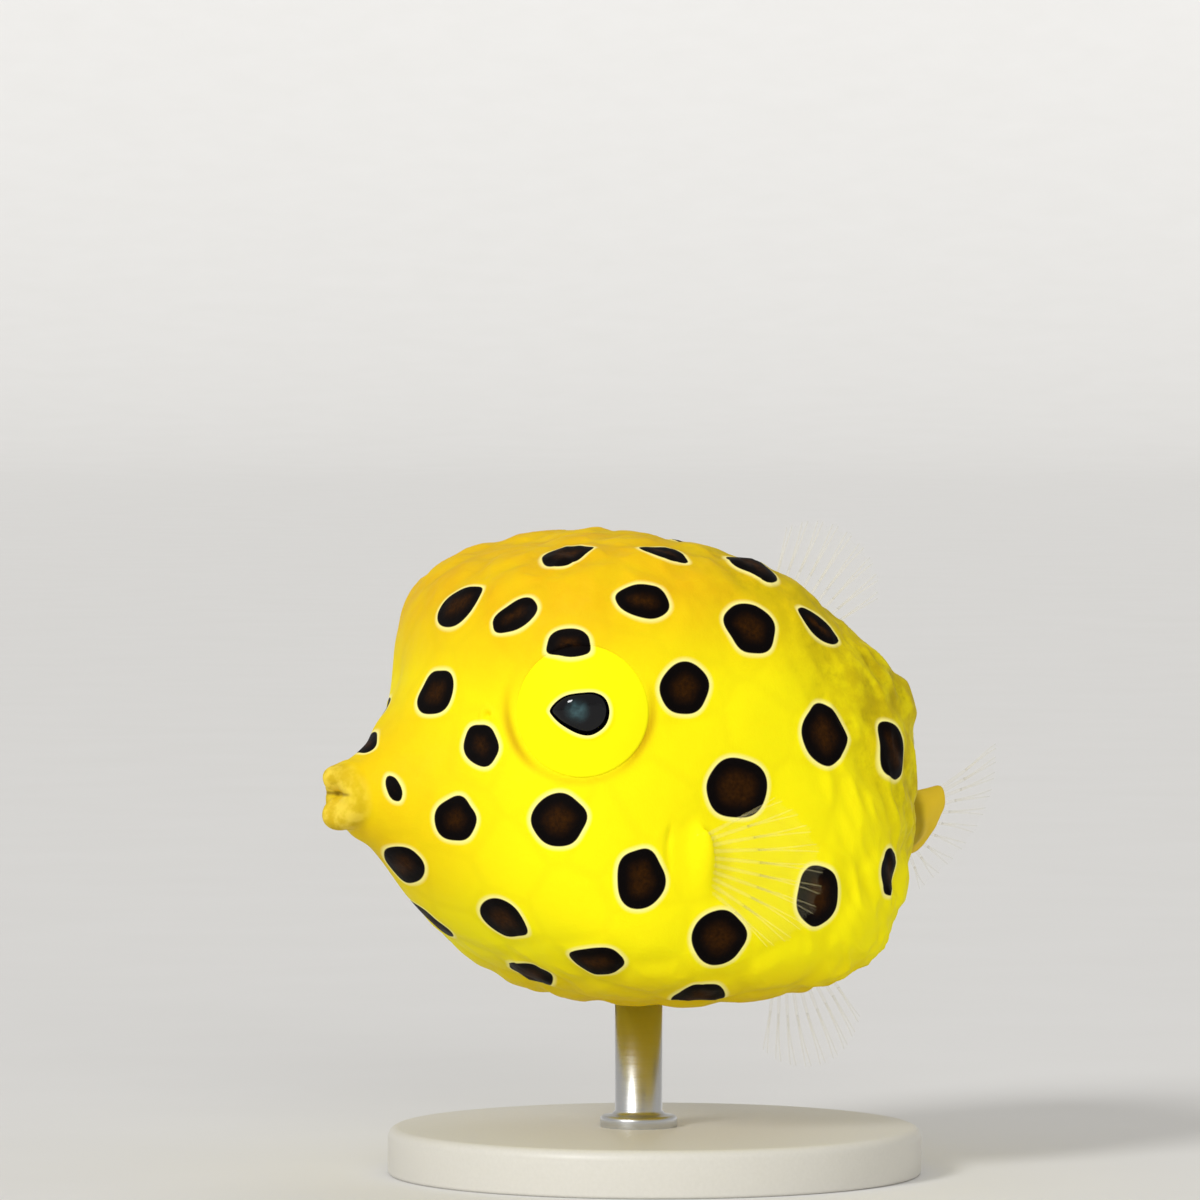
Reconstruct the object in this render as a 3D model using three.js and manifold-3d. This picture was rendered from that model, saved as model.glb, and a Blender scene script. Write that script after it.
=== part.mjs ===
// A young yellow boxfish, life-size, swimming level on a plain display stand.
// Millimetres, +Z up. The snout points to -X and the left flank to -Y.
// The origin is the centre of the stand's underside, below the middle of the body.

import * as THREE from "three";
import { ConvexHull } from "three/addons/math/ConvexHull.js";
import { mergeVertices } from "three/addons/utils/BufferGeometryUtils.js";
import Module from "manifold-3d";

const wasm = await Module();
wasm.setup();

const { cos, sin, PI, sqrt, abs, max, min, round } = Math;
const DEGREE = PI / 180;
const vec = (x, y, z) => new THREE.Vector3(x, y, z);

// Joints between pieces
const GAP = 0.3;

// Stand
const BASE_RADIUS = 9;
const BASE_HEIGHT = 1.6;
const BASE_BEVEL = 0.4;
const ROD_RADIUS = 0.8;
const ROD_RISE = 4;
const ROD_X = -0.6;

// The body is measured from its heart, the middle of the carapace
const BELLY_DEPTH = 8;
const HEART_HEIGHT = BASE_HEIGHT + ROD_RISE + BELLY_DEPTH;

// The carapace is a rounded box of flat walls. A wall on the midline is [angle up from the tail, distance].
const MIDLINE_WALLS = {
  rear: [0, 8.5],
  backSlope: [55, 6.95],
  back: [84, 8.9],
  crown: [106, 9.2],
  brow: [138, 11.8],
  forehead: [180, 9.1],
  throat: [230, 8.6],
  chest: [259, 8.3],
  belly: [283, 8.4],
  keelEnd: [330, 9.4],
};
// A wall on both sides is [angle round from the tail, angle up, distance].
const SIDE_WALLS = {
  hip: [45, 0, 9.2],
  flank: [90, 0, 7.5],
  cheek: [135, 0, 8.9],
  shoulder: [90, 50, 10.4],
  keel: [90, -50, 10.2],
};
const EDGE_SHARPNESS = 8;

// The snout is a cone from the mouth to a ball deep in the head
const MOUTH = vec(-11.35, 0, -0.42);
const MOUTH_RADIUS = 1.05;
const SNOUT_ROOT = vec(-3.2, 0, -1.3);
const SNOUT_ROOT_RADIUS = 4.7;
const SNOUT_BLEND = 3.4;
const SNOUT_CUT_X = -11.6;

// Bony plates: across, how far each stands up, and where on the snout they fade out
const PLATE_PITCH = 2.4;
const SNOUT_PITCH = 0.8;
const PLATE_RISE = 0.16;
const PLATE_TOP = 0.74;
const PLATES_FROM_X = -9.6;
const PLATES_FULL_X = -7.6;
const SETTLING_ROUNDS = 4;

// Head and trunk part behind the eye, where the gill slit is
const NECK_X = -2.6;
const GILL_SLIT = { x: -2.95, z: -2.2, height: 2.6, width: 0.8, depth: 1.4 };
const NOSTRIL = { aim: vec(-8.6, -4.0, 2.3), radius: 0.28 };

// Eyes: a flattened ball with a drop-shaped pupil that points to the mouth
const EYE_AIM = vec(-5.95, -6.3, 2.4);
const EYE_RADIUS = 2.45;
const EYE_DEPTH = 1.4;
const EYE_SUNK = 0.9;
const PUPIL = { length: 1.9, height: 1.36, taper: 0.25, hook: 0.12, turn: 4, down: 0.1, proud: 0.1, floor: 0.35 };

// Lips: two crescents that meet at the corners of the mouth. rise is how far the middle arches from the mouth line.
const MOUTH_LINE = { z: -0.5, halfWidth: 0.66 };
const LIPS = {
  upper: { way: 1, x: -11.88, rise: 0.4, radius: 0.42 },
  lower: { way: -1, x: -11.78, rise: 0.56, radius: 0.54 },
};
const LIP_CORNER = 0.6;

// Tail stalk: half heights at its start, waist and end, half widths, and how far its end is turned
const STALK = { start: 6.4, length: 4.5, z: -2.0, startHeight: 2.2, endHeight: 1.32, startWidth: 1.9, endWidth: 0.62 };
const STALK_WAIST = { share: 0.62, height: 1.05 };
const STALK_BEND = -24;
const STALK_ROLL = 25;
const STALK_SLANT = 13;
const TAIL_TURN = -42;

// Fins
const MEMBRANE = 0.25;
const RAY = 0.38;
const TIP = 0.16;
const BETWEEN_RAYS = 0.97;
const FIN_STEPS = 5;
const FIN_SUNK = 1.2;

// Fins. aim points from the heart to the middle of the root; along and out are [angle round from the tail, angle up].
const FINS = {
  dorsal: {
    ...{ rays: 9, root: 1.9, length: 4.1, spread: 46, rounding: 0.22, cup: 0.25 },
    ...{ aim: vec(5.3, 0, 4.9), along: [0, -35], out: [0, 55] },
  },
  anal: {
    ...{ rays: 9, root: 1.8, length: 3.7, spread: 44, rounding: 0.22, cup: -0.2 },
    ...{ aim: vec(5.6, 0, -7.1), along: [0, 15], out: [0, -75] },
  },
  pectoral: {
    ...{ rays: 10, root: 1.7, length: 4.4, spread: 70, rounding: 0.25, cup: 0.6 },
    ...{ aim: vec(-1.9, -7.2, -2.5), along: [-90, -70], out: [38, -6] },
  },
  caudal: { rays: 10, root: 2.3, length: 4.9, spread: 50, rounding: 0.16, cup: -0.5 },
};

const paint = (color, roughness, metalness = 0) => new THREE.MeshStandardMaterial({ color, roughness, metalness });
const SKIN = paint(0xf2d014, 0.42);
const LIP_SKIN = paint(0xe8cf6a, 0.5);
const IRIS = paint(0xf6ee1c, 0.25);
const PUPIL_BLACK = paint(0x07080c, 0.08);
const FIN = paint(0xe9dd9a, 0.45);
const STAND = paint(0xcdc9bd, 0.45);
const STEEL = paint(0x9a9da2, 0.3, 1);

const unit = (turn, up) =>
  vec(cos(turn * DEGREE) * cos(up * DEGREE), -sin(turn * DEGREE) * cos(up * DEGREE), sin(up * DEGREE));
const clamp = (x) => min(1, max(0, x));
const middleOf = (points) => points.reduce((sum, p) => sum.add(p), vec(0, 0, 0)).divideScalar(points.length);

const WALLS = [
  ...Object.values(MIDLINE_WALLS).map(([angle, distance]) => unit(0, angle).divideScalar(distance)),
  ...Object.values(SIDE_WALLS).flatMap(([turn, up, distance]) =>
    [turn, -turn].map((t) => unit(t, up).divideScalar(distance)),
  ),
];

// How far the rounded box reaches from the heart in a direction
function carapaceReach(direction) {
  let sum = 0;
  for (const wall of WALLS) sum += max(0, wall.dot(direction)) ** EDGE_SHARPNESS;
  return sum ** (-1 / EDGE_SHARPNESS);
}

function snoutDistance(p) {
  const axis = SNOUT_ROOT.clone().sub(MOUTH);
  const along = clamp(p.clone().sub(MOUTH).dot(axis) / axis.lengthSq());
  const radius = MOUTH_RADIUS + (SNOUT_ROOT_RADIUS - MOUTH_RADIUS) * along;
  return p.distanceTo(MOUTH.clone().addScaledVector(axis, along)) - radius;
}

function smoothUnion(a, b, blend) {
  const h = clamp(0.5 + (0.5 * (b - a)) / blend);
  return b * (1 - h) + a * h - blend * h * (1 - h);
}

// Less than 0 inside the flesh of head and trunk, 0 on its skin
function bodyForm(p) {
  const distance = p.length();
  const box = distance - carapaceReach(p.clone().divideScalar(distance));
  return smoothUnion(box, snoutDistance(p), SNOUT_BLEND);
}

function skinPoint(direction) {
  let [inner, outer] = [2, 18];
  for (let i = 0; i < 20; i++) {
    const middle = (inner + outer) / 2;
    if (bodyForm(direction.clone().multiplyScalar(middle)) < 0) inner = middle;
    else outer = middle;
  }
  return direction.clone().multiplyScalar(inner);
}

function skinNormal(p) {
  const step = 0.02;
  const slope = (x, y, z) => bodyForm(vec(p.x + x, p.y + y, p.z + z)) - bodyForm(vec(p.x - x, p.y - y, p.z - z));
  return vec(slope(step, 0, 0), slope(0, step, 0), slope(0, 0, step)).normalize();
}

function lifted(direction, height) {
  const p = skinPoint(direction);
  return height ? p.clone().addScaledVector(skinNormal(p), height) : p;
}

function geometryOf(points, triangles) {
  return new THREE.BufferGeometry()
    .setAttribute("position", new THREE.Float32BufferAttribute(points.flatMap((p) => [p.x, p.y, p.z]), 3))
    .setIndex(triangles.flat());
}

// A closed solid, turned right side out if its triangles face inwards
function solid(geometry) {
  geometry.deleteAttribute("normal");
  geometry.deleteAttribute("uv");
  const merged = mergeVertices(geometry, 1e-4);
  const vertProperties = new Float32Array(merged.attributes.position.array);
  const triVerts = new Uint32Array(merged.index.array);
  const made = new wasm.Manifold(new wasm.Mesh({ numProp: 3, vertProperties, triVerts }));
  if (made.volume() > 0) return made;
  for (let i = 0; i < triVerts.length; i += 3) {
    [triVerts[i], triVerts[i + 1]] = [triVerts[i + 1], triVerts[i]];
  }
  return new wasm.Manifold(new wasm.Mesh({ numProp: 3, vertProperties, triVerts }));
}

const bothSides = (geometry) => solid(geometry).add(solid(geometry.clone().scale(1, -1, 1)));

// One named mesh, of the largest closed surface in the solid
function piece(name, form, material) {
  const largest = form.decompose().reduce((a, b) => (a.volume() > b.volume() ? a : b));
  const { vertProperties, triVerts } = largest.getMesh();
  const geometry = new THREE.BufferGeometry()
    .setAttribute("position", new THREE.BufferAttribute(vertProperties, 3))
    .setIndex(new THREE.BufferAttribute(triVerts, 1));
  geometry.computeVertexNormals();
  const mesh = new THREE.Mesh(geometry, material);
  mesh.name = name;
  return mesh;
}

// A piece and its mirror image on the other flank
function pair(name, form, material) {
  const left = piece(`${name}_left`, form, material);
  const right = left.clone();
  right.name = `${name}_right`;
  right.scale.y = -1;
  return [left, right];
}

// Everything between two planes across the body
function slab(fromX, toX) {
  const size = 60;
  return solid(new THREE.BoxGeometry(toX - fromX, size, size).translate((fromX + toX) / 2, 0, 0));
}

// How much of its full height a plate has: the plates fade out on the snout
const plateShare = (x) => clamp((x - PLATES_FROM_X) / (PLATES_FULL_X - PLATES_FROM_X));

// A point in every plate, as directions from the heart, in rings from the mouth to the tail
function plateSeeds() {
  const seeds = [vec(-1, 0, 0)];
  const quarter = [0, PI / 2, PI, (3 * PI) / 2];
  const around = (angle, turn) => vec(-cos(angle), sin(angle) * sin(turn), sin(angle) * cos(turn));
  const step = 0.25 * DEGREE;
  let walked = 0;
  let before = quarter.map((turn) => skinPoint(around(0, turn)));
  let rings = 0;
  for (let angle = step; angle < PI; angle += step) {
    const here = quarter.map((turn) => skinPoint(around(angle, turn)));
    walked += here.reduce((sum, p, i) => sum + p.distanceTo(before[i]), 0) / here.length;
    before = here;
    const pitch = SNOUT_PITCH + (PLATE_PITCH - SNOUT_PITCH) * plateShare(here[0].x);
    if (walked < pitch * sin(PI / 3)) continue;
    walked = 0;
    rings += 1;
    const girth = (2 * PI * here.reduce((sum, p) => sum + Math.hypot(p.y, p.z), 0)) / here.length;
    const count = max(5, round(girth / pitch));
    if (angle > PI / 2 && girth < 4 * pitch) return [...seeds, vec(1, 0, 0)];
    for (let i = 0; i < count; i++) seeds.push(around(angle, (2 * PI * (i + (rings % 2) / 2)) / count));
  }
  return seeds;
}

// Each seed with its plate's corners in order round it. The corners are where three plates meet.
function plateCells(seeds) {
  const cells = new Map(seeds.map((seed) => [seed, []]));
  for (const face of new ConvexHull().setFromPoints(seeds).faces) {
    const corner = face.normal.clone().normalize();
    let edge = face.edge;
    do {
      cells.get(edge.head().point).push(corner);
      edge = edge.next;
    } while (edge !== face.edge);
  }
  for (const [seed, corners] of cells) {
    const across = vec(0.3, 0.1, 1).cross(seed);
    const along = seed.clone().cross(across);
    const turn = (corner) => Math.atan2(corner.dot(along), corner.dot(across));
    corners.sort((a, b) => turn(a) - turn(b));
  }
  return cells;
}

// Head and trunk in one skin of mostly six-sided plates. Each is a raised top with a sloping rim down to the seams.
function platedBody() {
  let cells = plateCells(plateSeeds());
  for (let i = 0; i < SETTLING_ROUNDS; i++) {
    cells = plateCells([...cells.values()].map((corners) => middleOf(corners).normalize()));
  }
  const points = [];
  const triangles = [];
  const cornerIndex = new Map();
  const indexOf = (corner) => {
    if (!cornerIndex.has(corner)) cornerIndex.set(corner, points.push(lifted(corner, 0)) - 1);
    return cornerIndex.get(corner);
  };
  for (const [seed, corners] of cells) {
    const rise = PLATE_RISE * plateShare(skinPoint(seed).x);
    const centre = points.push(lifted(seed, rise)) - 1;
    const tops = corners.map((corner) => points.push(lifted(seed.clone().lerp(corner, PLATE_TOP).normalize(), rise)) - 1);
    const seams = corners.map(indexOf);
    corners.forEach((_, i) => {
      const j = (i + 1) % corners.length;
      triangles.push([centre, tops[i], tops[j]], [tops[i], seams[i], seams[j]], [tops[i], seams[j], tops[j]]);
    });
  }
  return solid(geometryOf(points, triangles));
}

// The plated body grown by the gap, which trims whatever grows from it
function bodyClearance() {
  const shell = new THREE.IcosahedronGeometry(1, 12);
  const place = shell.attributes.position;
  for (let i = 0; i < place.count; i++) {
    const p = lifted(vec(place.getX(i), place.getY(i), place.getZ(i)).normalize(), GAP + PLATE_RISE);
    place.setXYZ(i, p.x, p.y, p.z);
  }
  return solid(shell);
}

// A closed body through rings of points, with a flat end at each side
function loft(rings) {
  const sides = rings[0].length;
  const last = rings.length - 1;
  const points = [...rings.flat(), middleOf(rings[0]), middleOf(rings[last])];
  const centre = rings.length * sides;
  const triangles = [];
  for (let k = 0; k < sides; k++) {
    const next = (k + 1) % sides;
    for (let i = 0; i < last; i++) {
      const [a, b, c, d] = [i * sides + k, i * sides + next, (i + 1) * sides + next, (i + 1) * sides + k];
      triangles.push([a, b, c], [a, c, d]);
    }
    triangles.push([next, k, centre], [last * sides + k, last * sides + next, centre + 1]);
  }
  return geometryOf(points, triangles);
}

// A ring of points round a middle, with a half width along each of two directions
function ringAt(middle, across, halfWidth, up, halfHeight, sides) {
  return Array.from({ length: sides }, (_, k) => {
    const turn = (2 * PI * k) / sides;
    return middle
      .clone()
      .addScaledVector(across, halfWidth * cos(turn))
      .addScaledVector(up, halfHeight * sin(turn));
  });
}

// One lip: a crescent that arches from one corner of the mouth to the other, thinner at the corners
function lip({ way, x, rise, radius }) {
  const steps = 10;
  const rings = [];
  for (let i = 0; i <= steps; i++) {
    const angle = (PI * i) / steps;
    const out = vec(0, cos(angle), way * sin(angle));
    const thick = radius * (LIP_CORNER + (1 - LIP_CORNER) * sin(angle));
    const y = MOUTH_LINE.halfWidth * cos(angle);
    const z = MOUTH_LINE.z + way * (GAP / 2 + rise * sin(angle));
    rings.push(ringAt(vec(x, y, z), out, thick, vec(1, 0, 0), thick, 12));
  }
  return solid(loft(rings)).intersect(slab(-20, SNOUT_CUT_X - GAP / 2));
}

// The eye's own frame: x runs back along the skin, y up and z out of it
function eyeFrame() {
  const at = skinPoint(EYE_AIM.clone().normalize());
  const out = skinNormal(at);
  const back = vec(1, 0, 0).addScaledVector(out, -out.x).normalize();
  return new THREE.Matrix4().makeBasis(back, out.clone().cross(back), out).setPosition(at.addScaledVector(out, -EYE_SUNK));
}

function eyeball(grow) {
  const ball = new THREE.SphereGeometry(1, 28, 16).rotateX(PI / 2);
  return ball.scale(EYE_RADIUS + grow, EYE_RADIUS + grow, EYE_DEPTH + grow).applyMatrix4(eyeFrame());
}

// A prism with the pupil's outline: round at the back and drawn to a point towards the mouth
function pupilPrism(grow, from) {
  const sides = 20;
  const corners = Array.from({ length: sides }, (_, i) => {
    const angle = (2 * PI * i) / sides;
    const point = max(0, -cos(angle)) ** 3;
    return new THREE.Vector2(
      (PUPIL.length / 2 + grow) * cos(angle),
      (PUPIL.height / 2 + grow) * sin(angle) * (1 - PUPIL.taper * point) + PUPIL.hook * point,
    ).rotateAround(new THREE.Vector2(0, 0), PUPIL.turn * DEGREE);
  });
  const depth = 2 * EYE_DEPTH;
  const prism = new THREE.ExtrudeGeometry(new THREE.Shape(corners), { depth, bevelEnabled: false });
  return solid(prism.translate(0, -PUPIL.down, from).applyMatrix4(eyeFrame()));
}

// The slit narrows to its ends, as the neck's gap opens into it
function gillSlit() {
  const { x, z, height, width, depth } = GILL_SLIT;
  const at = skinPoint(vec(x, -SIDE_WALLS.flank[2], z).normalize());
  return new THREE.SphereGeometry(1, 12, 10).scale(width / 2, depth / 2, height / 2).translate(x, at.y, z);
}

function nostril() {
  const at = skinPoint(NOSTRIL.aim.clone().normalize());
  return new THREE.SphereGeometry(NOSTRIL.radius, 10, 8).translate(at.x, at.y, at.z);
}

// The tail stalk's half height, least at its waist
function stalkHeight(share) {
  const { share: low, height } = STALK_WAIST;
  if (share < low) return height + (STALK.startHeight - height) * (1 - share / low) ** 2;
  return height + (STALK.endHeight - height) * ((share - low) / (1 - low)) ** 2;
}

// A ring round the tail stalk, which is flattened from side to side, bends to the right, rolls to the left and
// leans back at the top. share 1 is its end.
function stalkRing(share, grow) {
  const bend = STALK_BEND * DEGREE * share;
  const roll = STALK_ROLL * DEGREE * share;
  const reach = STALK.length * share;
  const middle = vec(STALK.start + reach * cos(bend / 2), -reach * sin(bend / 2), STALK.z);
  const along = vec(cos(bend), -sin(bend), 0);
  const across = vec(sin(bend), cos(bend), 0).applyAxisAngle(along, roll);
  const up = vec(0, 0, 1).applyAxisAngle(along, roll).applyAxisAngle(across, STALK_SLANT * DEGREE * share);
  const wide = STALK.startWidth + (STALK.endWidth - STALK.startWidth) * share;
  return ringAt(middle, across, wide + grow, up, stalkHeight(share) + grow, 18);
}

const tailStalk = (grow) => solid(loft([0, 0.2, 0.4, 0.55, 0.7, 0.85, 1].map((share) => stalkRing(share, grow))));

// A fin as a fan of rays that stand up as ridges in both faces of one membrane.
// along is the line of its root and out is the way it points.
function fan({ rays, root, length, spread, rounding, cup }, at, along, out) {
  const normal = along.clone().cross(out).normalize();
  const columns = 2 * (rays - 1);
  const faces = [[], []];
  for (let i = 0; i <= columns; i++) {
    const t = (2 * i) / columns - 1;
    const onRay = i % 2 === 0;
    const angle = (t * spread * DEGREE) / 2;
    const reach = length * (1 - rounding * t * t) * (onRay ? 1 : BETWEEN_RAYS);
    for (let j = 0; j <= FIN_STEPS; j++) {
      const s = j / FIN_STEPS;
      const distance = s * (reach + FIN_SUNK) - FIN_SUNK;
      const fanned = max(0, distance);
      const middle = at
        .clone()
        .addScaledVector(along, (t * root) / 2 + fanned * sin(angle))
        .addScaledVector(out, min(0, distance) + fanned * cos(angle))
        .addScaledVector(normal, cup * s * s * (1 - 0.5 * t * t));
      const thick = (onRay ? RAY : MEMBRANE) * (1 - s ** 3) + TIP * s ** 3;
      faces[0].push(middle.clone().addScaledVector(normal, thick));
      faces[1].push(middle.clone().addScaledVector(normal, -thick));
    }
  }
  return closedSheet(faces, columns, FIN_STEPS);
}

// Two like grids of points joined along their edges, with the same triangles on both
function closedSheet(faces, columns, rows) {
  const stride = rows + 1;
  const back = faces[0].length;
  const triangles = [];
  for (let i = 0; i < columns; i++) {
    for (let j = 0; j < rows; j++) {
      const [a, b, c, d] = [i * stride + j, (i + 1) * stride + j, (i + 1) * stride + j + 1, i * stride + j + 1];
      triangles.push([a, b, c], [a, c, d], [back + a, back + c, back + b], [back + a, back + d, back + c]);
    }
  }
  const rim = [];
  for (let i = 0; i < columns; i++) rim.push(i * stride);
  for (let j = 0; j < rows; j++) rim.push(columns * stride + j);
  for (let i = columns; i > 0; i--) rim.push(i * stride + rows);
  for (let j = rows; j > 0; j--) rim.push(j);
  rim.forEach((a, k) => {
    const b = rim[(k + 1) % rim.length];
    triangles.push([a, back + a, back + b], [a, back + b, b]);
  });
  return solid(geometryOf(faces.flat(), triangles));
}

// A fin that grows from the skin where a direction from the heart meets it
function bodyFin({ aim, along, out, ...shape }) {
  const at = skinPoint(aim.clone().normalize());
  const pointing = unit(...out);
  const rootLine = unit(...along);
  rootLine.addScaledVector(pointing, -rootLine.dot(pointing)).normalize();
  return fan(shape, at, rootLine, pointing).subtract(clearance);
}

function standRod() {
  const length = ROD_RISE + BELLY_DEPTH;
  const bottom = BASE_HEIGHT + GAP - HEART_HEIGHT;
  const rod = new THREE.CylinderGeometry(ROD_RADIUS, ROD_RADIUS, length, 24).rotateX(PI / 2);
  return solid(rod.translate(ROD_X, 0, bottom + length / 2)).subtract(clearance);
}

function standBase() {
  const profile = [
    [0, 0],
    [BASE_RADIUS - BASE_BEVEL / 2, 0],
    [BASE_RADIUS, BASE_BEVEL / 2],
    [BASE_RADIUS, BASE_HEIGHT - BASE_BEVEL],
    [BASE_RADIUS - BASE_BEVEL, BASE_HEIGHT],
    [0, BASE_HEIGHT],
  ].map(([radius, height]) => new THREE.Vector2(radius, height));
  return solid(new THREE.LatheGeometry(profile, 72).rotateX(PI / 2).translate(0, 0, -HEART_HEIGHT));
}

const clearance = bodyClearance();
const flesh = platedBody()
  .subtract(bothSides(eyeball(GAP)))
  .subtract(bothSides(gillSlit()))
  .subtract(bothSides(nostril()));
const iris = solid(eyeball(0)).subtract(pupilPrism(GAP, PUPIL.floor));
const pupil = solid(eyeball(PUPIL.proud)).intersect(pupilPrism(0, PUPIL.floor + GAP));
const tailWay = unit(TAIL_TURN, 0);
const tailTop = vec(0, 0, 1)
  .applyAxisAngle(tailWay, STALK_ROLL * DEGREE)
  .multiplyScalar(cos(STALK_SLANT * DEGREE))
  .addScaledVector(tailWay, sin(STALK_SLANT * DEGREE));
const caudal = fan(FINS.caudal, middleOf(stalkRing(1, 0)), tailTop, tailWay);

const fish = new THREE.Group();
fish.position.z = HEART_HEIGHT;
fish.add(
  piece("head", flesh.intersect(slab(SNOUT_CUT_X, NECK_X - GAP / 2)), SKIN),
  piece("trunk", flesh.intersect(slab(NECK_X + GAP / 2, 20)), SKIN),
  piece("tail_stalk", tailStalk(0).subtract(clearance), SKIN),
  piece("lip_upper", lip(LIPS.upper), LIP_SKIN),
  piece("lip_lower", lip(LIPS.lower), LIP_SKIN),
  ...pair("eye", iris, IRIS),
  ...pair("pupil", pupil, PUPIL_BLACK),
  ...pair("pectoral_fin", bodyFin(FINS.pectoral), FIN),
  piece("dorsal_fin", bodyFin(FINS.dorsal), FIN),
  piece("anal_fin", bodyFin(FINS.anal), FIN),
  piece("caudal_fin", caudal.subtract(tailStalk(GAP)), FIN),
  piece("stand_rod", standRod(), STEEL),
  piece("stand_base", standBase(), STAND),
);

export default fish;
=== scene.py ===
# A young yellow boxfish, swimming level on a plain display stand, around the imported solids.
import itertools
import math

import bpy
import numpy as np
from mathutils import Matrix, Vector


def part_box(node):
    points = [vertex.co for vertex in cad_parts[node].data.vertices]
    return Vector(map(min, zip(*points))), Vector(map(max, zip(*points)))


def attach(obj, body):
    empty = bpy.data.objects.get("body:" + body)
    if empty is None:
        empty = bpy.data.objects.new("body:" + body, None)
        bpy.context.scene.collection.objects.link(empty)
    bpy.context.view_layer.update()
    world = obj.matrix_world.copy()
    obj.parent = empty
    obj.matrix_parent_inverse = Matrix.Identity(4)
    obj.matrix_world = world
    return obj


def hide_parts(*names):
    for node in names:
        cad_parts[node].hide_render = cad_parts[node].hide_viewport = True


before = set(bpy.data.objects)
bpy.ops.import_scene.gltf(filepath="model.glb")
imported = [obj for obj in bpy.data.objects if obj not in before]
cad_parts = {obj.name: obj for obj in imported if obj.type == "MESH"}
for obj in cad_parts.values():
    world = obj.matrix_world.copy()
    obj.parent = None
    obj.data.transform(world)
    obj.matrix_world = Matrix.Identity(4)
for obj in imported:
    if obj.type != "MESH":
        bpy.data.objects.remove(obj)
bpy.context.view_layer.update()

# Lengths are millimetres in the fish's own frame: +x to the tail, -y to the left flank, +z up,
# from its heart, the middle of the carapace. HEART is where that is above the stand's underside.
MM = 0.001
HEART = np.array([0.0, 0.0, 13.6])

# The photograph: the fish's own picture in it, and the camera that gives the fish's outline there
PICTURE = {"left": 605, "top": 0, "side": 595}
HEART_PIXEL = (929.6, 382.0)
PIXEL = 0.068
VIEW_TURN = -27.0
VIEW_RISE = 3.0
VIEW_DISTANCE = 300.0
SENSOR = 36.0

# No point of the fish is further than this from its heart
FISH_REACH = 16
# A box around its skin, as two corners
SKIN_BOX = ((-13, -8.6, -8.8), (12.6, 8.6, 9.3))

# The carapace's flat walls, as in the solids: on the midline [angle up from the tail, distance],
# and on both sides [angle round from the tail, angle up, distance]
MIDLINE_WALLS = {
    "rear": (0, 8.5),
    "back_slope": (55, 6.95),
    "back": (84, 8.9),
    "crown": (106, 9.2),
    "brow": (138, 11.8),
    "forehead": (180, 9.1),
    "throat": (230, 8.6),
    "chest": (259, 8.3),
    "belly": (283, 8.4),
    "keel_end": (330, 9.4),
}
SIDE_WALLS = {
    "hip": (45, 0, 9.2),
    "flank": (90, 0, 7.5),
    "cheek": (135, 0, 8.9),
    "shoulder": (90, 50, 10.4),
    "keel": (90, -50, 10.2),
}
# How sharp the edges between walls are: walls add up in a power of 2 doubled this many times
EDGE_DOUBLINGS = 3

# The snout: a cone from its root inside the carapace to the mouth, with a blunt front
MOUTH = np.array([-11.35, 0, -0.42])
MOUTH_RADIUS = 1.05
SNOUT_ROOT = np.array([-3.2, 0, -1.3])
SNOUT_ROOT_RADIUS = 4.7
SNOUT_BLEND = 3.4
SNOUT_FRONT = -11.75
SNOUT_BLUNTNESS = 0.5

# The lips are two crescents that meet at the corners of the mouth, with a slit between them
MOUTH_LINE = {"z": -0.5, "half_width": 0.66, "setback": 0.4, "slit": 0.09, "slit_width": 0.09}
LIPS = {
    "upper": {"way": 1, "x": -11.88, "rise": 0.4, "radius": 0.42},
    "lower": {"way": -1, "x": -11.78, "rise": 0.56, "radius": 0.54},
}
# How thick a lip is at its corners, as a share of its middle, and how softly it joins the snout
LIP_CORNER = 0.6
LIP_BLEND = 0.4

# The tail stalk, its half heights at its start, waist and end, its half widths, how far its rounded
# end reaches and how softly it joins the body. TAIL_TURN is the angle round from the tail that its fin
# points to.
STALK = {"start": 6.4, "length": 4.5, "z": -2.0, "bend": -24, "roll": 25, "slant": 13}
STALK_HEIGHTS = (2.2, 1.02, 1.36)
STALK_WAIST = 0.62
STALK_WIDTHS = (1.9, 0.55)
STALK_END_REACH = 0.5
STALK_BLEND = 0.9
TAIL_TURN = -42

# What y is multiplied by to take a place on the left side to each side
SIDES = {"left": 1, "right": -1}

# The left eye: the way to it from the heart, its disc's radius, how far it bulges from the skin, and
# how far from its plane the skin's relief follows it
EYE_AIM = np.array([-5.95, -6.3, 2.4])
EYE_RADIUS = 2.17
EYE_BULGE = 0.34
EYE_DEPTH = 1.5

# The gill slit, and the way to the left nostril
GILL = {"x": -3.2, "z": -2.2, "height": 2.2}
NOSTRIL_AIM = np.array([-8.6, -4.0, 2.3])

# Fins: [angle round from the tail, angle up] of the root's line and of the way the fin points
FINS = {
    "dorsal_fin": {
        "aim": (5.3, 0, 4.9), "along": (0, -35), "out": (0, 55),
        "root": 1.9, "length": 4.1, "rays": 9, "spread": 46, "rounding": 0.22, "cup": 0.25,
    },
    "anal_fin": {
        "aim": (5.6, 0, -7.1), "along": (0, 15), "out": (0, -75),
        "root": 1.8, "length": 3.7, "rays": 9, "spread": 44, "rounding": 0.22, "cup": -0.2,
    },
    "pectoral_fin": {
        "aim": (-1.9, -7.2, -2.5), "along": (-90, -70), "out": (38, -6),
        "root": 1.7, "length": 4.4, "rays": 10, "spread": 70, "rounding": 0.25, "cup": 0.6,
    },
    "caudal_fin": {
        "root": 2.3, "length": 4.9, "rays": 10, "spread": 50, "rounding": 0.16, "cup": -0.5,
    },
}

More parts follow.
